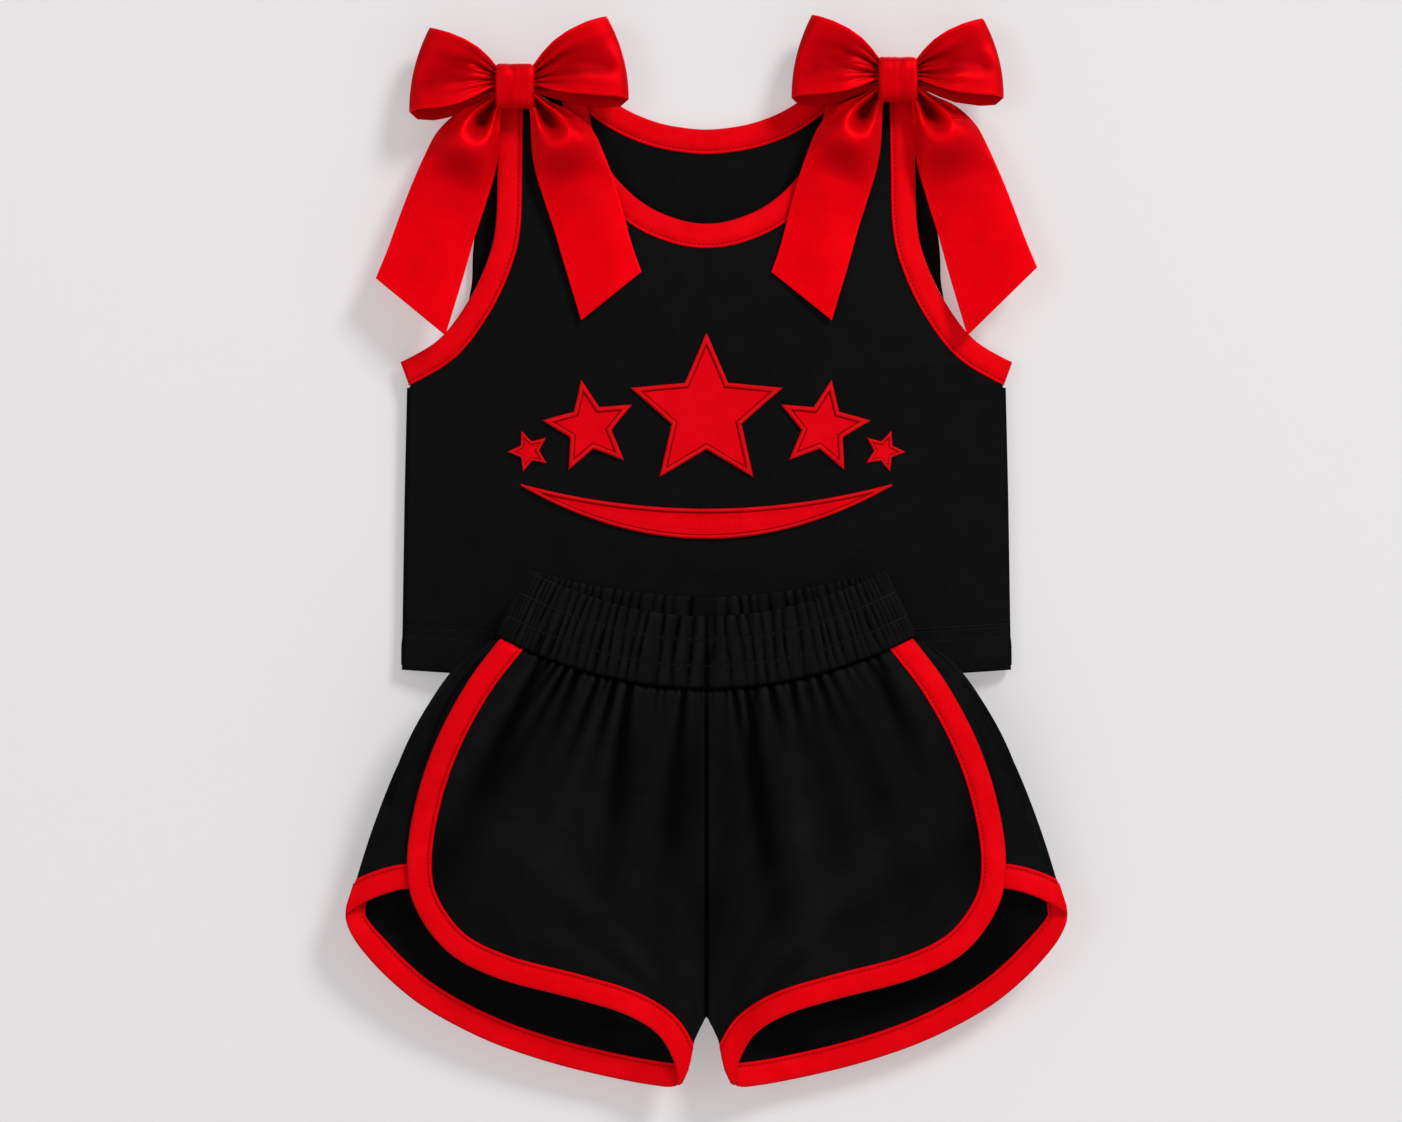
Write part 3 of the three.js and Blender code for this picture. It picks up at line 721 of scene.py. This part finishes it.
def emblemPiece(name, x, z, radius, turn, replaces, border, rise):
    bm = bmesh.new()
    stand = Matrix.Translation((x, 0, z)) @ Matrix.Rotation(math.pi / 2, 4, "X")
    stand @= Matrix.Rotation(math.radians(turn), 4, "Z")
    ring = bmesh.ops.create_circle(bm, cap_ends=True, segments=10, radius=radius, matrix=stand)["verts"]
    centre = Vector((x, 0, z))
    for v in ring:  # every second corner is drawn in, and the first points up
        angle = math.atan2(v.co.z - z, v.co.x - x) - math.radians(turn) - math.pi / 2
        if round(angle / (math.pi / 5)) % 2:
            v.co = centre.lerp(v.co, emblemLook["waist"])
    face = bm.faces[:][0]
    bm.normal_update()
    if face.normal.y > 0:
        bmesh.ops.reverse_faces(bm, faces=[face])
    outline = [v.co.xz for v in face.verts]
    # rings across the stitched border, which rise and fall again, then a sunk line in painted shade and the flat cloth
    heights = [0.0, 0.7, 1.0, 1.0, 0.7, 0.0, 0.0]
    for i, share in enumerate((0.14, 0.18, 0.2, 0.18, 0.14, 0.16)):
        made = bmesh.ops.inset_region(bm, faces=[face], thickness=border * share, use_boundary=True,
                                      use_even_offset=True, depth=(heights[i + 1] - heights[i]) * rise)
        for f in made["faces"]:
            f.material_index = 1 if i < 4 else 2
    # the wall down to the shirt
    outer = [e for e in bm.edges if e.is_boundary]
    down = bmesh.ops.extrude_edge_only(bm, edges=outer)["geom"]
    for v in (g for g in down if isinstance(g, bmesh.types.BMVert)):
        v.co.y += emblemLook["base"] + emblemLook["wall"]
    bmesh.ops.triangulate(bm, faces=[face])
    long = [e for e in bm.edges if e.calc_length() > 7]
    bmesh.ops.subdivide_edges(bm, edges=long, cuts=2, use_grid_fill=True)
    uvLayer = bm.loops.layers.uv.new("cloth")
    bm.normal_update()
    edges = list(zip(outline, outline[1:] + outline[:1]))
    for f in bm.faces:
        here = f.calc_center_median().xz
        best, run, start, far, total = None, None, 0, 1e9, 0
        for a, b in edges:
            d = b - a
            k = clamp((here - a).dot(d) / d.length_squared)
            gap = (a + d * k - here).length
            if gap < far:
                far, run, start, best = gap, d.normalized(), total, a
            total += d.length
        onBorder = f.material_index > 0
        for loop in f.loops:
            q = loop.vert.co.xz
            flat = Vector((start + (q - best).dot(run), far)) if onBorder else q
            loop[uvLayer].uv = flat * mm
    for v in bm.verts:
        v.co.y -= topFrontDepth(v.co.x, v.co.z) + 0.9 + emblemLook["base"]
    xs, zs = [p.x for p in outline], [p.y for p in outline]
    wide, tall = max(xs) - min(xs), max(zs) - min(zs)
    emblemSheet(name, bm, replaces)


for name, node, x, z, radius, turn in emblemStars:
    small = 0.6 if radius < 20 else 1
    emblemPiece(name, x, z, radius, turn, [node], emblemLook["border"] * small, emblemLook["rise"] * small)
emblemSheet("emblem_sash_cloth", sashMesh(), ["emblem_sash"])
print("emblem made")


shortsCloth = {
    "softFold": 4.5, "paintedSoftShade": 0.6, "paintedFoldShade": 1.0, "fan": 0.005, "columns": 150, "rows": 100,
    "wide": 190, "long": 270,
}


# folds that run down from the waistband: place, lean, depth, width and reach of each
def waistFolds(seed):
    rng = random.Random(seed)
    folds, x = [], rng.uniform(3, 6)
    while x < 130:
        deep = rng.random() < 0.5
        folds.append((x, shortsCloth["fan"] * x + rng.uniform(-0.12, 0.12),
                      rng.uniform(1.8, 3.4) if deep else rng.uniform(0.8, 1.6),
                      rng.uniform(1.3, 2.2) if deep else rng.uniform(0.8, 1.3),
                      rng.uniform(22, 60) if deep else rng.uniform(5, 14)))
        x += rng.uniform(4.2, 10)
    return folds


def panelLift(x, z, below, seed, folds):
    down = max(0, below)
    lift = tone = 0
    for place, lean, depth, wide, reach in folds:
        near = math.exp(-down / reach)
        if near < 0.02:
            continue
        across = abs(x - place - lean * down) / (wide * (1 + down / 24))
        if across > 4:
            continue
        valley = math.exp(-across ** 2) * near
        ridge = bell(across, 1.7, 0.9) * near
        lift += depth * (0.3 * ridge - valley)
        # painted shade in each fold's valley and a painted highlight on its ridges
        tone += depth / 3 * (0.3 * ridge - 1.1 * valley)
    # long soft folds that fan out from the waist
    fan = x / (1 + 0.0035 * down)
    soft = noise.noise(Vector((fan / 17, z / 190, seed + 2))) * ease(below, 5, 60) * (1 - 0.7 * ease(below, 90, 160))
    around, away = math.atan2(z + 600, x + 8), math.hypot(x + 8, z + 600)
    low = 0.8 * noise.noise(Vector((around * 5.5, away / 150, seed + 4)))
    soft += low * ease(below, 80, 150) * ease(away, 15, 60)
    lift += shortsCloth["softFold"] * soft
    # painted shade and highlight follow the folds, with a painted shadow just under the waistband
    tone = shortsCloth["paintedFoldShade"] * tone + shortsCloth["paintedSoftShade"] * soft - 0.7 * math.exp(-down / 1.0)
    return lift, tone


def shortsPanel(edge, bandBottom, depthAt, bottom, seed, inset, sideways=1):
    outer = smoothTable(edge, key=1)
    top = bandBottom(shortsShape["waistHalf"])
    edgeLine = smoothLine(edge, 2.0)
    edgeTree = kdtree.KDTree(len(edgeLine))
    for i, p in enumerate(edgeLine):
        edgeTree.insert((p.x, p.y, 0), i)
    edgeTree.balance()
    folds = waistFolds(seed)

    def place(s, t):
        base = mix(top, bottom, t)
        low = 0.0 if base > -shortsShape["crotchDrop"] else inseamX(base)
        high = tableAt(outer, base) - inset
        x = mix(low, max(high, low + 0.5), s ** 1.2)
        z = base + (bandBottom(x) + 1.5 - top) * (1 - ease(t, 0, 0.55))
        below = bandBottom(x) - z
        lift, tone = panelLift(x, z, below, seed, folds)
        lift *= ease(x, 0, 7) * ease(edgeTree.find((x, z, 0))[2], 13, 30)
        lift -= 1.4 * (1 - ease(x, 0.9, 2.0))  # the centre seam is pulled in
        # painted shade along the centre seam and, on the back panel, inside the leg
        tone -= 0.55 * (1 - ease(x, 1.0, 2.0))
        tone -= 0.3 * ease(-z, 470, 500) if sideways < 0 else 0  # the inside of the leg is dim
        return Vector((x, -depthAt(x, z) - lift * sideways, z, tone))

    return gridMesh(shortsCloth["columns"], shortsCloth["rows"], place,
                    lambda s, t: (s ** 1.2 * shortsCloth["wide"], -t * shortsCloth["long"]))


backEdge = sideLine[:-1] + [(216.5, -497), (220, -506)] + backHem[2:]


def sideWrap(seed):
    outer = smoothTable(sideLine + [(223.4, -512)], key=1)
    inner = smoothTable(frontEdge, key=1)
    hem = smoothTable(sideHem)

    def place(s, t):
        top = mix(-344, -345, s)
        far = tableAt(inner, mix(top, -500, t)) - 13
        x = mix(far, tableAt(outer, mix(top, -511, t)), s)
        z = mix(top, tableAt(hem, x) + 2, t)
        lift = 0.5 * ripple(x, z, 40, seed)
        return Vector((x, -shortsSideDepth(x, z) - lift * ease(1 - s, 0, 0.3), z))

    return gridMesh(26, 80, place, lambda s, t: (s * 60, -t * 170))


def legCorner(p, inset):  # the back edging turns away at the side, and so looks narrower there
    turned = 4.0 * (1 - ease(-p.y, 509, 537)) + 9.5 * (1 - ease(-p.y, 496, 512))
    return p + Vector((turned * inset / width, 0))


for side, way in bothSides:
    front = shortsPanel(frontEdge, bandFrontBottom, shortsFrontDepth, -614, 11.0 + way * 3, 2.0)
    knitPanel(side + "_front_leg", mirrorMesh(front, way), "shorts", [side + "_shorts_front_panel"], -1)
    back = shortsPanel(backEdge, bandBackBottom, shortsBackDepth, -622, 31.0 + way * 3, 1.6, sideways=-1)
    knitPanel(side + "_back_leg", mirrorMesh(back, way), "shorts", [side + "_shorts_back_panel"], 1)
    knitPanel(side + "_side_wrap", mirrorMesh(sideWrap(51.0 + way), way), "shorts", [], -1)

    cloth, rows = strip(frontEdge, shortsFrontDepth, frontLeg, sides=2, seed=5)
    bindingPiece(side + "_front_leg_edging", cloth, rows, "shorts", [side + "_leg_front_binding"], way)
    cloth, rows = strip(backHem, shortsBackDepth, backLeg, sides=2, corner=7, bend=legCorner, seed=6)
    around, more = strip(sideHem, shortsSideDepth, sideLeg, seed=7)
    joinInto(cloth, around)
    joinInto(rows, more)
    bindingPiece(side + "_back_leg_edging", cloth, rows, "shorts", [side + "_leg_back_binding"], way)
print("shorts panels made")

waistLook = {
    "pleats": 100, "size": 1.8, "columns": 900, "thick": 3.4, "trim": 2.4, "stitches": (0.31, 0.68), "stitchCount": 210,
}


def waistPlace(angle, up, out):
    c, s = (math.copysign(abs(part) ** 0.85, part) for part in (math.cos(angle), math.sin(angle)))
    x = (shortsShape["waistHalf"] + out - waistLook["trim"]) * c
    y = (shortsShape["room"] + out) * s
    narrowing = shortsShape["waistTopHalf"] / shortsShape["waistHalf"]
    # front and back edges meet smoothly at the sides
    bottom = bandFrontBottom(x) if y < 0 else bandBackBottom(x)
    top = bandFrontTop(x * narrowing) if y < 0 else bandBackTop(x * narrowing)
    z = mix(bottom, top, up)
    return Vector((x * mix(1, narrowing, up), y - shortsShape["waistDepth"], z))


def pleatAt(angle, up, seed=2.0):
    arc = angle / (2 * math.pi) * waistLook["pleats"]
    round3 = Vector((math.cos(angle), math.sin(angle), 0)) * 6
    wander = 0.7 * noise.noise(round3 + Vector((0, 0, up * 0.35 + seed)))
    wander += 0.35 * noise.noise(round3 * 3 + Vector((0, 0, up * 1.2)))
    wave = abs(math.sin(math.pi * (arc + wander))) ** 0.8
    size = 0.5 + 1.5 * abs(noise.noise(round3 * 2.3 + Vector((0, 0, seed + up * 1.2))))
    for row in waistLook["stitches"]:
        size *= 1 - 0.75 * bell(up, 1 - row, 0.035)
    size *= mix(0.45, 1.0, ease(up, 0.0, 0.3))
    # the second value is painted shade in the pleats' valleys and a painted highlight on their ridges
    return (wave - 0.7) * size, (wave ** 0.5 - 0.78) * size * 1.5


def angleFrom(angle, middle):
    return abs(math.atan2(math.sin(angle - middle), math.cos(angle - middle)))


def seamDip(angle):
    return bell(angleFrom(angle, -math.pi / 2), 0, 0.004)


def tabFlat(angle):  # the plain stretch at the centre of the back
    return 1 - ease(angleFrom(angle, math.pi / 2), 0.030, 0.045)


waistSection = [(i / 22, 1.0) for i in range(23)]
waistSection += [(1.0 + 0.028 * math.sin(math.pi * k / 6), math.cos(math.pi * k / 6)) for k in range(1, 6)]
waistSection += [(1 - i / 16, -1.0) for i in range(17)]


def waistMesh():
    rows = len(waistSection) - 1

    def place(s, t):
        # the columns are closer together at the front seam
        angle = 2 * math.pi * s - 0.6 * math.sin(2 * math.pi * s) - math.pi / 2
        up, side = waistSection[round(t * rows)]
        pleat, tone = (value * (1 - tabFlat(angle)) for value in pleatAt(angle, clamp(up)))
        pleat *= waistLook["size"]
        pleat -= 0.9 * seamDip(angle)
        for row in waistLook["stitches"]:
            pleat -= 0.35 * bell(up, 1 - row, 0.02)
        out = side * (waistLook["thick"] / 2 + pleat * (1 if side > 0 else 0.8))
        point = waistPlace(angle, up + 0.012 * pleat * ease(up, 0.85, 1.0), out)
        # painted shade: slightly darker overall, a painted shadow along the bottom edge and at the front seam, all of
        # the painted tone stronger on the band's inner side
        tone += -0.05 - 0.8 * math.exp(-max(0, up) / 0.015) - 0.7 * seamDip(angle)
        tone *= 1 if side > 0 else 1.3
        return Vector((*point, tone))

    bm = gridMesh(waistLook["columns"], rows, place, lambda s, t: (s * 560, t * 90))
    bmesh.ops.remove_doubles(bm, verts=bm.verts, dist=0.002)
    return bm


waistband = makePiece("waistband", waistMesh(), blackKnit, "shorts", "black_knit",
                      ["left_waistband_casing", "right_waistband_casing", "waistband_elastic"])
rows = bmesh.new()
for share in waistLook["stitches"]:
    count = waistLook["stitchCount"]
    for i in range(count):
        angle = 2 * math.pi * i / count - math.pi / 2
        up = 1 - share
        out = waistLook["thick"] / 2 - 0.15 + pleatAt(angle, up)[0] * 0.3
        here = waistPlace(angle, up, out)
        turn = (waistPlace(angle + 0.004, up, out) - here).to_track_quat("X", "Z").to_matrix().to_4x4()
        bmesh.ops.create_icosphere(rows, subdivisions=1, radius=1,
                                   matrix=Matrix.Translation(here) @ turn @ Matrix.Diagonal((1.05, 0.28, 0.28, 1)))
rows = makePiece("waistband_stitches", rows, blackThread, "shorts", "black_knit")
print("waistband made")


bowPlace = {"x": 119.5, "z": 4.6, "leftDrop": 4.4}
loopLook = {"tip": 53.3, "corner": 66.0, "depth": 19.6, "room": 10.0, "crease": 6.2}
loopTop = [(0.0, 3.5), (0.2, 12.6), (0.30, 19.2), (0.42, 25.3), (0.58, 30.8), (0.76, 35.1), (0.9, 37.4), (1.0, 38.7)]
loopLowFront = [(0.0, 1.0), (0.2, 0.4), (0.36, -4.2), (0.5, -7.2), (0.7, -8.8), (0.9, -9.5), (1.0, -10.8)]
loopLowBack = [(0.0, -2.0), (0.2, -4.4), (0.4, -9.5), (0.55, -12.9), (0.78, -15.2), (0.93, -14.8), (1.0, -10.8)]
# height across the loop, width, depth and reach of each pleat
loopCreases = [(0.17, 0.05, 0.8, 0.5), (0.36, 0.06, 1.0, 0.75), (0.52, 0.05, 0.8, 0.55), (0.67, 0.065, 1.15, 1.1),
               (0.85, 0.05, 0.75, 0.7)]


def loopPoint(s, t, rise, seed):
    phi = 2 * math.pi * s
    out = (1 - math.cos(phi)) / 2
    frontal = math.sin(phi)
    low = mix(tableAt(loopLowBack, out), tableAt(loopLowFront, out), ease(frontal, -0.25, 0.25))
    top = tableAt(loopTop, out) + rise * out
    z = mix(low, top, t)
    corner = loopLook["corner"] - (loopLook["corner"] - loopLook["tip"]) * t ** 2.1
    x = 0.4 + (corner - 0.4) * out
    pinch = mix(0.30, 1, ease(out, 0.12, 0.55))
    y = loopLook["room"] * pinch * math.sqrt(max(0, 1 - abs(2 * out - 1) ** 2.4)) * (1 if frontal >= 0 else -1)
    # pleats that fan out of the knot
    fold = 0
    for where, wide, size, reach in loopCreases:
        fade = math.exp(-max(0, out - 0.19) / reach * 2.2) * ease(out, 0.0, 0.12)
        spread = wide * (1 + 1.6 * max(0, out - 0.2))
        stray = 0.05 * noise.noise(Vector((out * 4, where * 9, seed)))
        fold -= size * bell(t, where + stray, spread) * fade
    # painted shade in the pleats' creases
    tone = fold * 1.1
    fold *= loopLook["crease"]
    halfway = ease(out, 0.3, 0.55) * (1 - ease(out, 0.8, 1.0))
    fold -= 3.2 * bell(t, 0.68 - 0.3 * out, 0.13) * halfway
    fold += 1.6 * noise.noise(Vector((x / 22, z / 20, seed))) * ease(out, 0.2, 0.5)
    y += fold * (abs(frontal) ** 0.6) * (1 if frontal >= 0 else -0.6)
    inside = 1 - ease(frontal, -0.1, 0.1)
    # painted highlight along the ribbon's edges, painted shade in a band across the middle of the loop and on its
    # inside
    paintedShadeBand = 0.5 * bell(t, 0.62 - 0.3 * out, 0.14) * halfway
    tone += 0.6 * (1 - ease(min(t, 1 - t), 0.01, 0.045)) * (1 - inside) - paintedShadeBand - 0.45 * inside
    return Vector((x, -loopLook["depth"] - y, z, tone))


tailLeft = [(0.0, 3.0, -3.0), (0.07, 8.5, -12.0), (0.16, 9.8, -26.0), (0.27, 10.9, -42.0), (0.38, 14.0, -58.5),
            (0.5, 19.6, -78.0), (0.64, 25.9, -98.5), (0.8, 32.6, -123.0), (1.0, 43.4, -159.6)]
tailRight = [(0.0, 9.0, 0.0), (0.07, 20.5, -8.0), (0.16, 36.0, -15.0), (0.27, 48.8, -27.0), (0.38, 57.0, -42.0),
             (0.5, 65.0, -60.0), (0.64, 72.6, -79.5), (0.8, 79.4, -98.0), (1.0, 87.1, -116.9)]
tailLook = {"valley": 9.0, "lip": 1.6, "middle": 0.45, "roll": 10.5}


def edgeAt(table, t):
    for i, (a, b) in enumerate(zip(table, table[1:])):
        if t <= b[0]:
            near = (table[max(i - 1, 0)], a, b, table[min(i + 2, len(table) - 1)])
            return splineAt([Vector(q[1:]) for q in near], (t - a[0]) / (b[0] - a[0]))
    return Vector(table[-1][1:])


def tailPoint(s, t, squeeze, seed, drop):
    a, b = edgeAt(tailLeft, t), edgeAt(tailRight, t)
    p = a.lerp(b, s)
    p.y -= drop * mix(1, 0 if squeeze else 1.55 * s, ease(t, 0.1, 1))
    p.x -= squeeze * ease(t, 0.15, 1.0) * mix(2.1, 8.1, s)
    p.y += squeeze * ease(t, 0.15, 1.0) * mix(9.5, -2.7, s)
    depth = 12.0 + 0.08 * abs(p.y)
    depth = mix(17.0, depth, ease(t, 0.0, 0.22))
    roll = ease(t, 0.14, 0.27) * (1 - ease(t, 0.29, 0.46)) * math.sin(math.pi * clamp(s * 1.02)) ** 0.7
    depth += tailLook["roll"] * roll
    across = (s - tailLook["middle"]) / mix(0.24, 0.30, t)
    q = math.sqrt(across ** 2 + (max(0, t - 0.10) / 0.165) ** 2)
    valley = 1 - ease(q, 0.15, 1.0)
    lip = bell(q, 1.12, 0.22)
    arms = bell(abs(across), 1.1, 0.5) * (1 - ease(t, 0.14, 0.36))
    fold = -tailLook["valley"] * valley * ease(t, 0.0, 0.05) + tailLook["lip"] * lip + 3.4 * arms
    fold -= 2.4 * bell(s, 0.86, 0.07) * (1 - ease(t, 0.06, 0.3))
    fold -= 2.0 * bell(s, 0.12, 0.06) * (1 - ease(t, 0.04, 0.2))
    fold += 1.1 * noise.noise(Vector((p.x / 30, p.y / 38, seed))) * ease(t, 0.3, 0.5)
    fold += 1.3 * math.sin(math.pi * s) * ease(t, 0.3, 0.6)
    # painted shadow under the roll, painted shade in the fold's hollow, and painted highlights on its lip, along the
    # ribbon's edges and towards the tail's lower end
    under = bell(t, 0.36, 0.075) * bell(s, 0.48, 0.33)
    tone = 0.3 * lip - 0.9 * valley * ease(t, 0.0, 0.05) - 0.55 * under
    tone += 0.5 * (1 - ease(min(s, 1 - s), 0.008, 0.035))
    tone += 0.3 * ease(t, 0.45, 0.75)
    return Vector((p.x, -depth - fold, p.y, tone))


knotLook = {"wide": 24.4, "tall": 27.6, "deep": 20.4, "back": 7.2}


def knotMesh():
    wide, tall, deep = knotLook["wide"], knotLook["tall"], knotLook["deep"]
    middle = -(knotLook["back"] + deep / 2)

    def place(s, t):
        angle = 2 * math.pi * s
        c, n = math.cos(angle), math.sin(angle)
        y = deep / 2 * math.copysign(abs(c) ** 0.8, c)
        z = tall / 2 * math.copysign(abs(n) ** 0.5, n)
        x = wide * (t - 0.5)
        edge = abs(2 * t - 1)
        shrink = 1 - 0.10 * max(0, edge - 0.8) / 0.2
        crease = 0.45 * noise.noise(Vector((x / 3.2, z / 30, 2.0))) + 0.35 * noise.noise(Vector((x / 8, z / 7, 4.0)))
        crease -= 0.8 * bell(x, 1.5 + z * 0.12, 1.6) * ease(z, 2, 14)
        # painted shade and highlight following the knot's creases, and painted shade at its two sides
        tone = 0.6 * crease - 0.9 * ease(edge, 0.86, 1.0)
        return Vector((x * (1 + 0.03 * (n * n)), middle + y * shrink - crease * (1 if c < 0 else -1) * abs(c),
                       z * shrink + 1 + 0.3 * crease * n, tone))

    bm = gridMesh(96, 22, place, lambda s, t: (t * 24, s * 88))
    bmesh.ops.remove_doubles(bm, verts=bm.verts, dist=0.002)
    return bm


def lowerLoop(bm, which, drop):
    for v in bm.verts:
        x, z = v.co.x, v.co.z
        if which == "outer":
            v.co.z -= drop * (1 + 0.32 * ease(x, 5, 50)) + 0.06 * (38 - z) * ease(x, 10, 50)
        else:
            v.co.z -= drop * mix(1, 0.2, ease(x, 0, 45))
            v.co.x += 0.07 * x * ease(x, 8, 40)


def placeBow(bm, way, mirror):
    mirrorMesh(bm, mirror * way)
    bmesh.ops.translate(bm, vec=(way * bowPlace["x"], 0, bowPlace["z"]), verts=bm.verts)
    return bm


def bowPiece(name, bm, body, replaces):
    piece = makePiece(name, bm, redSatin, body, "red_satin", replaces, thick=0.7)
    return piece


for side, way in bothSides:
    drop = bowPlace["leftDrop"] if way < 0 else 0
    for which, mirror, rise in (("outer", 1, 0.0), ("inner", -1, 2.2)):
        seed = 3.0 * way + mirror * 1.7
        loop = gridMesh(128, 34, lambda s, t: loopPoint(s, t, rise, seed), lambda s, t: (t * 50, s * 125))
        bmesh.ops.remove_doubles(loop, verts=loop.verts, dist=0.002)
        if drop:
            lowerLoop(loop, which, drop)
        bowPiece(f"{side}_{which}_ribbon_loop", placeBow(loop, way, mirror), "top", [f"{side}_bow_{which}_loop"])
        squeeze = 0 if which == "outer" else 1
        tail = gridMesh(44, 110, lambda s, t: tailPoint(s, t, squeeze, seed + 9, drop),
                        lambda s, t: (s * 50, t * 165))
        node = [f"{side}_bow_{which}_tail"] + ([f"{side}_bow_tail_gather"] if which == "outer" else [])
        piece = bowPiece(f"{side}_{which}_ribbon_tail", placeBow(tail, way, mirror), None, node)
        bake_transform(piece)
    knot = placeBow(knotMesh(), way, 1)
    bmesh.ops.translate(knot, vec=(0, 0, -drop), verts=knot.verts)
    bowPiece(f"{side}_ribbon_knot", knot, "top", [f"{side}_bow_knot"])
    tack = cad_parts[f"{side}_bow_tack_stitch"]
    tack.data.materials.clear()
    tack.data.materials.append(redThread)
print("bows made")


stageLook = {"floor": (0.60, 0.59, 0.595, 1), "wall": (0.80, 0.785, 0.79, 1)}


def plainStage():
    paints = []
    for name, colour in (("pale_backdrop", stageLook["floor"]), ("pale_wall", stageLook["wall"])):
        paint = bpy.data.materials.new(name)
        paint.use_nodes = True
        shader = paint.node_tree.nodes["Principled BSDF"]
        for socket, value in (("Base Color", colour), ("Roughness", 0.9), ("Specular IOR Level", 0.1)):
            shader.inputs[socket].default_value = value
        paints.append(paint)
    tree = paint.node_tree  # the wall is seen only by the camera, and only from the front
    glow = addNode(tree, "Emission", {"Color": stageLook["wall"]}).outputs[0]
    paper = addNode(tree, "MixShader", {0: 0.6}, {1: glow, 2: shader.outputs[0]}).outputs[0]
    notSeen = mathNode(tree, "SUBTRACT", 1.0, addNode(tree, "LightPath").outputs["Is Camera Ray"])
    hidden = mathNode(tree, "MAXIMUM", addNode(tree, "NewGeometry").outputs["Backfacing"], notSeen)
    choose = addNode(tree, "MixShader", {}, {0: hidden, 1: paper, 2: addNode(tree, "BsdfTransparent").outputs[0]})
    tree.links.new(choose.outputs[0], tree.nodes["Material Output"].inputs[0])
    for name, size, matrix, material in (
            ("floor", 8.0, Matrix.Translation((0, 0, -0.80)), paints[0]),
            ("wall", 1.5, Matrix.Translation((0, 0.003, 0.70)) @ Matrix.Rotation(math.pi / 2, 4, "X"), paints[1])):
        bm = bmesh.new()
        bmesh.ops.create_grid(bm, x_segments=2, y_segments=2, size=size)
        bm.transform(matrix)
        addObject(name, meshFrom(name, bm, material))


plainStage()
world = bpy.data.worlds.new("studio")
world.use_nodes = True
sky = world.node_tree
ray = addNode(sky, "LightPath").outputs["Is Camera Ray"]
seen = mathNode(sky, "ADD", mathNode(sky, "MULTIPLY", ray, 0.42), 0.38)
sky.nodes["Background"].inputs["Color"].default_value = (1.0, 0.985, 0.99, 1)
sky.links.new(seen, sky.nodes["Background"].inputs["Strength"])
scene = bpy.context.scene
scene.world = world

lamps = [  # name, place in metres, width, power
    ("key", (4.6, -5.4, 5.6), 2.6, 590),
    ("fill", (-4.2, -5.8, 0.9), 3.4, 60),
    ("rear", (0.9, 2.6, 1.4), 1.8, 60),
]
for name, place, size, power in lamps:
    light = bpy.data.lights.new(name, "AREA")
    light.shape = "DISK"
    light.size = size
    light.energy = power
    lamp = addObject(name, light)
    lamp.location = place
    lamp.rotation_euler = (Vector((0, 0, -0.3)) - Vector(place)).to_track_quat("-Z", "Y").to_euler()

view = {"centre": (-3.4, -20, -295.7), "width": 876.25, "distance": 3600}
camera = addObject("camera", bpy.data.cameras.new("camera"))
camera.data.sensor_width = 36
camera.data.lens = 36 * view["distance"] / view["width"]
camera.data.clip_end = 50
camera.location = Vector(view["centre"]) * mm - Vector((0, view["distance"] * mm, 0))
camera.rotation_euler = (math.pi / 2, 0, 0)
scene.camera = camera
scene.view_settings.view_transform = "Standard"
print("stage made")
